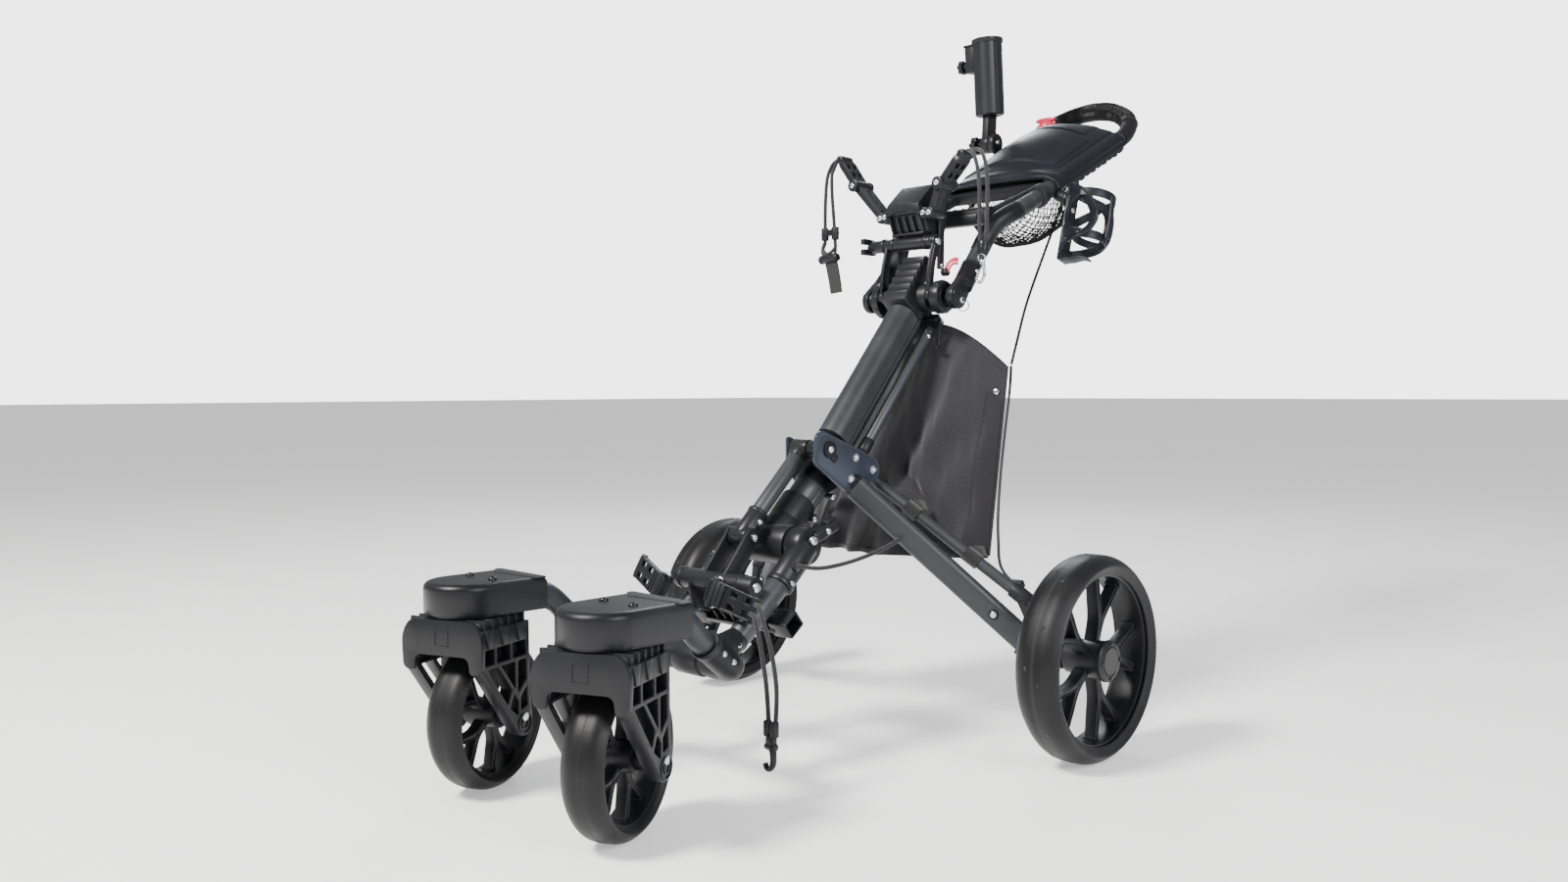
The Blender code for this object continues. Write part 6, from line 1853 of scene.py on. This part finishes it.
def brake_lever():
    """The red knob: a lobed disc under a crest to turn it by."""
    centre = on_handle(-0.0580, 0.3133, 0.0437)
    place = axes_matrix(centre - 0.004 * OFF_SLOPE, OFF_SLOPE)
    shapes = star_knob(place, 0.0195, 0.0080, 5)
    shapes.append(turned([(0.0, 0.0105), (0.0080, 0.0100), (0.0135, 0.0070), (0.0160, 0.0020),
                          (0.0165, -0.0030), (0.0, -0.0030)], place, 40, closed=False))
    crest = [centre + 0.0065 * OFF_SLOPE + Vector((x, 0, 0)) for x in
             (-0.0200, -0.0120, 0.0, 0.0120, 0.0200)]
    shapes.append(sweep(smooth_route(crest, 5), oval(0.0100, 0.0080, 8), across=OFF_SLOPE,
                        size=lambda t: 0.55 + 0.45 * math.sin(math.pi * t)))
    finish_node("brake_lever", "red_plastic", (RED, *shapes))


def hub_knobs():
    """The two hub knobs, each with nine lobes and a raised ring open like a C on its face."""
    for name, side in SIDES.items():
        reach = 0.0300 if name == "left" else 0.0265
        place = wheel_place(side * 0.0600, *HUB) @ Matrix.Rotation(
            0.0 if side > 0 else math.pi, 4, "X")
        body = turned(
            [(0.0, 0.0060), (0.55 * reach, 0.0066), (0.80 * reach, 0.0070), (0.94 * reach, 0.0050),
             (reach, 0.0010), (reach, -0.0086), (0.0, -0.0086)], place, 56, closed=False)
        lobes = [
            rod(place @ polar(reach - 0.0035, math.tau * (i + 0.5) / 9, -0.0080),
                place @ polar(reach - 0.0035, math.tau * (i + 0.5) / 9, 0.0030), 0.0042, sides=16,
                bevel=0.0015) for i in range(9)
        ]
        ring = [place @ polar(0.62 * reach, math.radians(a), 0.0070) for a in range(-130, 131, 8)]
        raised = sweep(ring, oval(0.0030, 0.0062, 6), across=(1, 0, 0),
                       size=lambda t: 0.45 + 0.55 * math.sin(math.pi * t) ** 0.6)
        stud = turned(
            [(0.0, 0.0092), (0.0050, 0.0090), (0.0062, 0.0075), (0.0062, 0.0), (0.0, 0.0)],
            place, 28, closed=False)
        finish_node(f"hub_knob_{name}", "black_plastic", (PLASTIC, body, *lobes, raised, stud))


# ---------------------------------------------------------------- upper cradle

CRADLE_ARMS = {
    "left": (
        Vector((-0.0485, 0.0550, 0.7980)), Vector((-0.1040, 0.0550, 0.8570)),
        Vector((-0.1400, 0.0550, 0.9050)),
    ),
    "right": (
        Vector((0.0500, 0.0550, 0.7985)), Vector((0.0690, 0.0550, 0.8420)),
        Vector((0.1080, 0.0550, 0.8830)),
    ),
}


def cradle_block():
    top = rounded([(0.0340, 0.8140), (0.0640, 0.8400), (0.0760, 0.8500), (0.1120, 0.8440),
                   (0.1150, 0.8220), (0.1050, 0.7990), (0.0380, 0.7990)], 0.004)
    shapes = [
        flat(top, 0.0640, side_view(), bevel=0.0030, segments=3),
        flat(rounded([(0.0420, 0.8010), (0.1060, 0.8010), (0.0960, 0.7700), (0.0560, 0.7700)],
                     0.004), 0.0740, side_view(), bevel=0.002),
        flat([(0.0490, 0.7715), (0.0980, 0.7715), (0.0980, 0.7680), (0.0490, 0.7680)], 0.0600,
             side_view(), bevel=0.001),
        flat(rounded([(0.0740, 0.7720), (0.0960, 0.7720), (0.0960, 0.7500), (0.0840, 0.7470)],
                     0.003), 0.0560, side_view(), bevel=0.0015),
    ]
    lip = rounded([(-0.0345, 0.7960), (-0.0345, 0.8100), (-0.0100, 0.8180), (0.0100, 0.8180),
                   (0.0345, 0.8100), (0.0345, 0.7960), (0.0110, 0.8040), (-0.0110, 0.8040)], 0.002)
    shapes.append(flat(lip, 0.0100, front_view(0.0385), bevel=0.0015))
    for x in (-0.0300, -0.0150, 0.0, 0.0150, 0.0300):
        shapes.append(flat(
            [(0.0370, 0.7960), (0.0460, 0.7960), (0.0580, 0.7700), (0.0500, 0.7700)], 0.0026,
            side_view(x), bevel=0.0006))
    for side in SIDES.values():
        shapes.append(bar((side * 0.0400, 0.0830, 0.7900), (side * 0.0400, 0.0820, 0.7130),
                          oval(0.0062, 0.0150, 10)))
        shapes.append(rod((side * 0.0385, 0.0380, 0.7990), (side * 0.0385, 0.0720, 0.7990), 0.0092,
                          sides=32, bevel=0.002))
    screws = [bolt((s * 0.0385, 0.0376, 0.7990), (0, -1, 0), 0.0048) for s in (-1.0, 1.0)]
    screws += [bolt((s * 0.0432, 0.0820, 0.7180), (s, 0, 0), 0.0042) for s in (-1.0, 1.0)]
    finish_node("cradle_block", "black_plastic", (CASTING, *shapes), (STEEL, *screws))


def cradle_links():
    """The cross axle with its collars and hook, and the two plates down to the hub."""
    axle = (0.0600, 0.7550)
    shapes = [cross_rod(-0.0850, 0.0515, axle, 0.0105, 40, 0.002)]
    for x in (-0.0560, -0.0360, 0.0300, 0.0440):
        shapes.append(cross_rod(x - 0.003, x + 0.003, axle, 0.0120, 40, 0.001))
    for dz in (-0.0085, 0.0085):
        front, back, middle_z = axle[0] - 0.020, axle[0] + 0.010, axle[1] + dz
        prong = [(front, middle_z - 0.0040), (back, middle_z - 0.0040),
                 (back, middle_z + 0.0040), (front, middle_z + 0.0055)]
        shapes.append(flat(rounded(prong, 0.002), 0.0080, side_view(-0.0880), bevel=0.0015))
    shapes.append(block((-0.0880, axle[0] + 0.004, axle[1]), (0.0080, 0.0140, 0.0250), 0.0, 0.003))
    bright = [bolt((-0.0922, axle[0] + 0.003, axle[1]), (-1, 0, 0), 0.0045),
              bolt((0.0515, *axle), (1, 0, 0), 0.0062, 0.0040)]
    for side in SIDES.values():
        x = side * 0.0470
        foot = Vector((x, HUB[0] - 0.0190, HUB[1] + 0.0030))
        head = Vector((x, *axle))
        bow = head.lerp(foot, 0.5) + Vector((0.0, -0.0040, 0.0))
        route = smooth_route([head, bow, foot], 10)
        shapes.append(sweep(route, oval(0.0062, 0.0165, 10)))
        rail = [p + Vector((side * 0.0034, 0, 0)) for p in route]
        shapes.append(sweep(rail, rounded(rect(0.0010, 0.0052), 0.0006, 2)))
        shapes.append(cross_rod(x - 0.0042, x + 0.0042, axle, 0.0105, 32, 0.001))
        shapes.append(cross_rod(x - 0.0042, x + 0.0042, tuple(foot.yz), 0.0098, 32, 0.001))
        bright.append(bolt(foot + Vector((side * 0.0042, 0, 0)), (side, 0, 0), 0.0048))
    finish_node("cradle_links", "black_plastic", (CASTING, *shapes), (STEEL, *bright))


def fold_latch():
    """The small red lever by the right link that frees the handle's fold."""
    hinge = Vector((0.0585, 0.0720, 0.7060))
    lever = [hinge, hinge + Vector((0.0030, 0.0040, 0.0110)),
             hinge + Vector((0.0080, 0.0080, 0.0170)), hinge + Vector((0.0150, 0.0110, 0.0175))]
    grip = sweep(smooth_route(lever, 6), oval(0.0050, 0.0120, 8), across=(0.0, 1.0, 0.0),
                 size=lambda t: 0.8 + 0.35 * t)
    boss = cross_rod(0.0520, 0.0625, tuple(hinge.yz), 0.0062, 24, 0.001)
    piece("fold_latch", "handle", [(RED, grip), (CASTING, boss)])


def cradle_arm(name, hinge, elbow, tip):
    """One arm: a plate with a raised panel, an elbow with two barrels, and a pad with holes."""
    lower, upper = (elbow - hinge), (tip - elbow)
    lower_place = axes_matrix((hinge + elbow) / 2, (lower.z, 0, -lower.x), lower)
    upper_place = axes_matrix((elbow + tip) / 2, (upper.z, 0, -upper.x), upper)
    half, reach = lower.length / 2, upper.length / 2
    plate = rounded([(-half, -0.0135), (half - 0.004, -0.0160), (half, 0.0160), (-half, 0.0135)],
                    0.004)
    panel = [(0.72 * u, 0.66 * v) for u, v in plate]
    pad = rounded([(-reach, -0.0150), (reach - 0.010, -0.0165), (reach + 0.004, -0.0080),
                   (reach + 0.004, 0.0080), (reach - 0.010, 0.0165), (-reach, 0.0150)], 0.005)
    holes = [
        rounded([(u + du, v + dv) for du, dv in
                 rect(0.0042, 0.0038)],
                0.001, 2)
        for u in (-0.35 * reach, 0.30 * reach) for v in (-0.0075, 0.0075)
    ]
    y_axis = Vector((0.0, 1.0, 0.0))
    shapes = [
        flat(plate, 0.0115, lower_place, bevel=0.002),
        flat(panel, 0.0131, lower_place, bevel=0.0008),
        flat(pad, 0.0110, upper_place, holes=holes, bevel=0.0018),
    ]
    for centre, start, end, radius, sides, bevel in (
        (elbow, -0.0205, 0.0205, 0.0088, 32, 0.002), (elbow, -0.0225, -0.0150, 0.0100, 32, 0.0015),
        (elbow, 0.0150, 0.0225, 0.0100, 32, 0.0015), (hinge, -0.0175, 0.0175, 0.0085, 32, 0.002),
        (tip, -0.0150, 0.0150, 0.0072, 28, 0.003),
    ):
        shapes.append(rod(centre + start * y_axis, centre + end * y_axis, radius, sides=sides,
                          bevel=bevel))
    screws = [bolt(hinge - 0.0177 * y_axis, (0, -1, 0), 0.0050),
              bolt(elbow - 0.0226 * y_axis, (0, -1, 0), 0.0050)]
    finish_node(f"cradle_arm_{name}", "black_plastic", (CASTING, *shapes), (STEEL, *screws))


# ---------------------------------------------------------------- apron


APRON_TOP, APRON_FOOT = 0.6270, 0.2740
APRON_THICKNESS = 0.0012


def apron_point(u, v, creased=1.0):
    """The cloth behind the legs, its top arched, with hanging folds; creased=0 leaves them out."""
    across = 2 * u - 1
    top = APRON_TOP - 0.0720 * abs(across) ** 1.8
    z = top + (APRON_FOOT - top) * v
    fall = (APRON_TOP - z) / (APRON_TOP - APRON_FOOT)
    x = across * (0.1500 + 0.0450 * max(0.0, (0.555 - z) / 0.281))
    centre, edge = 0.1120 - 0.1920 * fall, 0.1360 - 0.1420 * fall
    y = centre + (edge - centre) * across * across
    inside = creased * (1 - across**8) * min(1.0, 6 * v)
    folds = 0.0065 * math.sin(9.0 * across + 2.2 * v) * v
    folds += 0.0110 * noise.noise(Vector((5.0 * across + 1.3 * v, 2.3 * v, 0.7)))
    folds += 0.0075 * noise.noise(Vector((9.0 * across - 3.0 * v, 4.5 * v, 2.9))) * (0.3 + v)
    gather = math.exp(-(((across - 0.30) / 0.30) ** 2 + ((v - 0.74) / 0.13) ** 2))
    folds += 0.0105 * gather * math.sin(30.0 * (0.6 * across - 1.1 * v))
    fan = math.exp(-((v - 0.52) / 0.22) ** 2) * max(0.0, across + 0.2)
    folds += 0.0085 * fan * math.sin(14.0 * (across + 0.7 * v))
    return Vector((x, y + inside * folds, z + 0.0008 * inside * math.sin(23 * across)))


def rear_apron():
    """The apron's sheet with its hems and piping, and the snap near its right edge."""
    count = 40
    for i in range(count):
        for j in range(count):
            a, b, c = (apron_point((i + di) / count, (j + dj) / count, 0.0)
                       for di, dj in ((0, 0), (1, 0), (0, 1)))
    cloth = surface(apron_point, 110, 120, APRON_THICKNESS, (0.34, 0.35))
    stitches = [apron_point(0.02 + 0.96 * i / 80, 0.028) + Vector((0, -0.0014, 0))
                for i in range(81)]
    rows = [([apron_point(u, i / 60) for i in range(61)], oval(0.0036, 0.0075, 5))
            for u in (0.0, 1.0)]
    rows += [([apron_point(i / 80, 0.0) for i in range(81)], circle(0.0024, 10)),
             (stitches, circle(0.0007, 6)),
             ([apron_point(i / 80, 1.0) for i in range(81)], oval(0.0030, 0.0080, 5))]
    edges = [sweep(route, section, across=(0, 1, 0)) for route, section in rows]

    def right_hem(u, v):
        base = apron_point(0.925 + 0.075 * u, 0.19 + 0.80 * v)
        return base + Vector((0, -0.0030 - 0.0015 * math.sin(math.pi * u), 0))

    snap_at = apron_point(0.965, 0.165) + Vector((0.0, -0.0026, 0.0))
    snap = turned(
        [(0.0, 0.0024), (0.0036, 0.0022), (0.0052, 0.0012), (0.0056, -0.0004), (0.0, -0.0004)],
        axes_matrix(snap_at, (0.25, -1, 0.1)), 24, closed=False)
    edges.append(surface(right_hem, 10, 60, APRON_THICKNESS, (0.03, 0.28)))
    made = finish_node("rear_apron", "fabric", (CLOTH, cloth), (HEM, *edges), body=False)
    bits = piece("apron_snap", None, [(STEEL, snap)])
    for item in (made, bits):
        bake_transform(item)


def apron_straps():
    """Two hook-and-loop straps round each brace, holding the apron's lower corners."""
    for name, side in SIDES.items():
        bends = mirrored(REAR_STRUT_BENDS[-1], side)
        foot = mirrored(REAR_STRUT_FOOT, side)
        along = (foot - bends).normalized()
        shapes = []
        for share in (0.26, 0.68):
            centre = bends.lerp(foot, share)
            place = axes_matrix(centre, along, (0, 1, 0))

            def band(u, v, place=place):
                a = math.tau * u
                r = 0.0104 + 0.0009 * u
                return place @ Vector((r * math.cos(a), r * math.sin(a), 0.024 * (v - 0.5)))

            shapes.append(surface(band, 40, 6, 0.0016, (0.065, 0.024)))
            tail = [centre + Vector((0, 0.0100, 0.0040)), centre + Vector((0, 0.0180, 0.0080)),
                    centre + Vector((side * 0.004, 0.0280, 0.0060))]
            shapes.append(sweep(smooth_route(tail, 4), rounded(
                rect(0.0110, 0.0008),
                0.0004, 1), across=along))
        piece(f"apron_straps_{name}", "rear_legs", [(VELCRO, *shapes)])


# ---------------------------------------------------------------- build

camera()
studio()
cords()
wheels()
main_tube()
centre_tube()
hub()
guide_rods()
side_plates()
rear_legs()
fold_strut()
front_legs()
front_crossbeam()
caster_arms()
lower_cradle()
lower_pads()
handle_tubes()
handle_grip()
console()
storage_net()
bottle_cage()
umbrella_holder()
brake_lever()
hub_knobs()
cradle_block()
cradle_links()
fold_latch()
for arm_name, arm_points in CRADLE_ARMS.items():
    cradle_arm(arm_name, *arm_points)
rear_apron()
apron_straps()
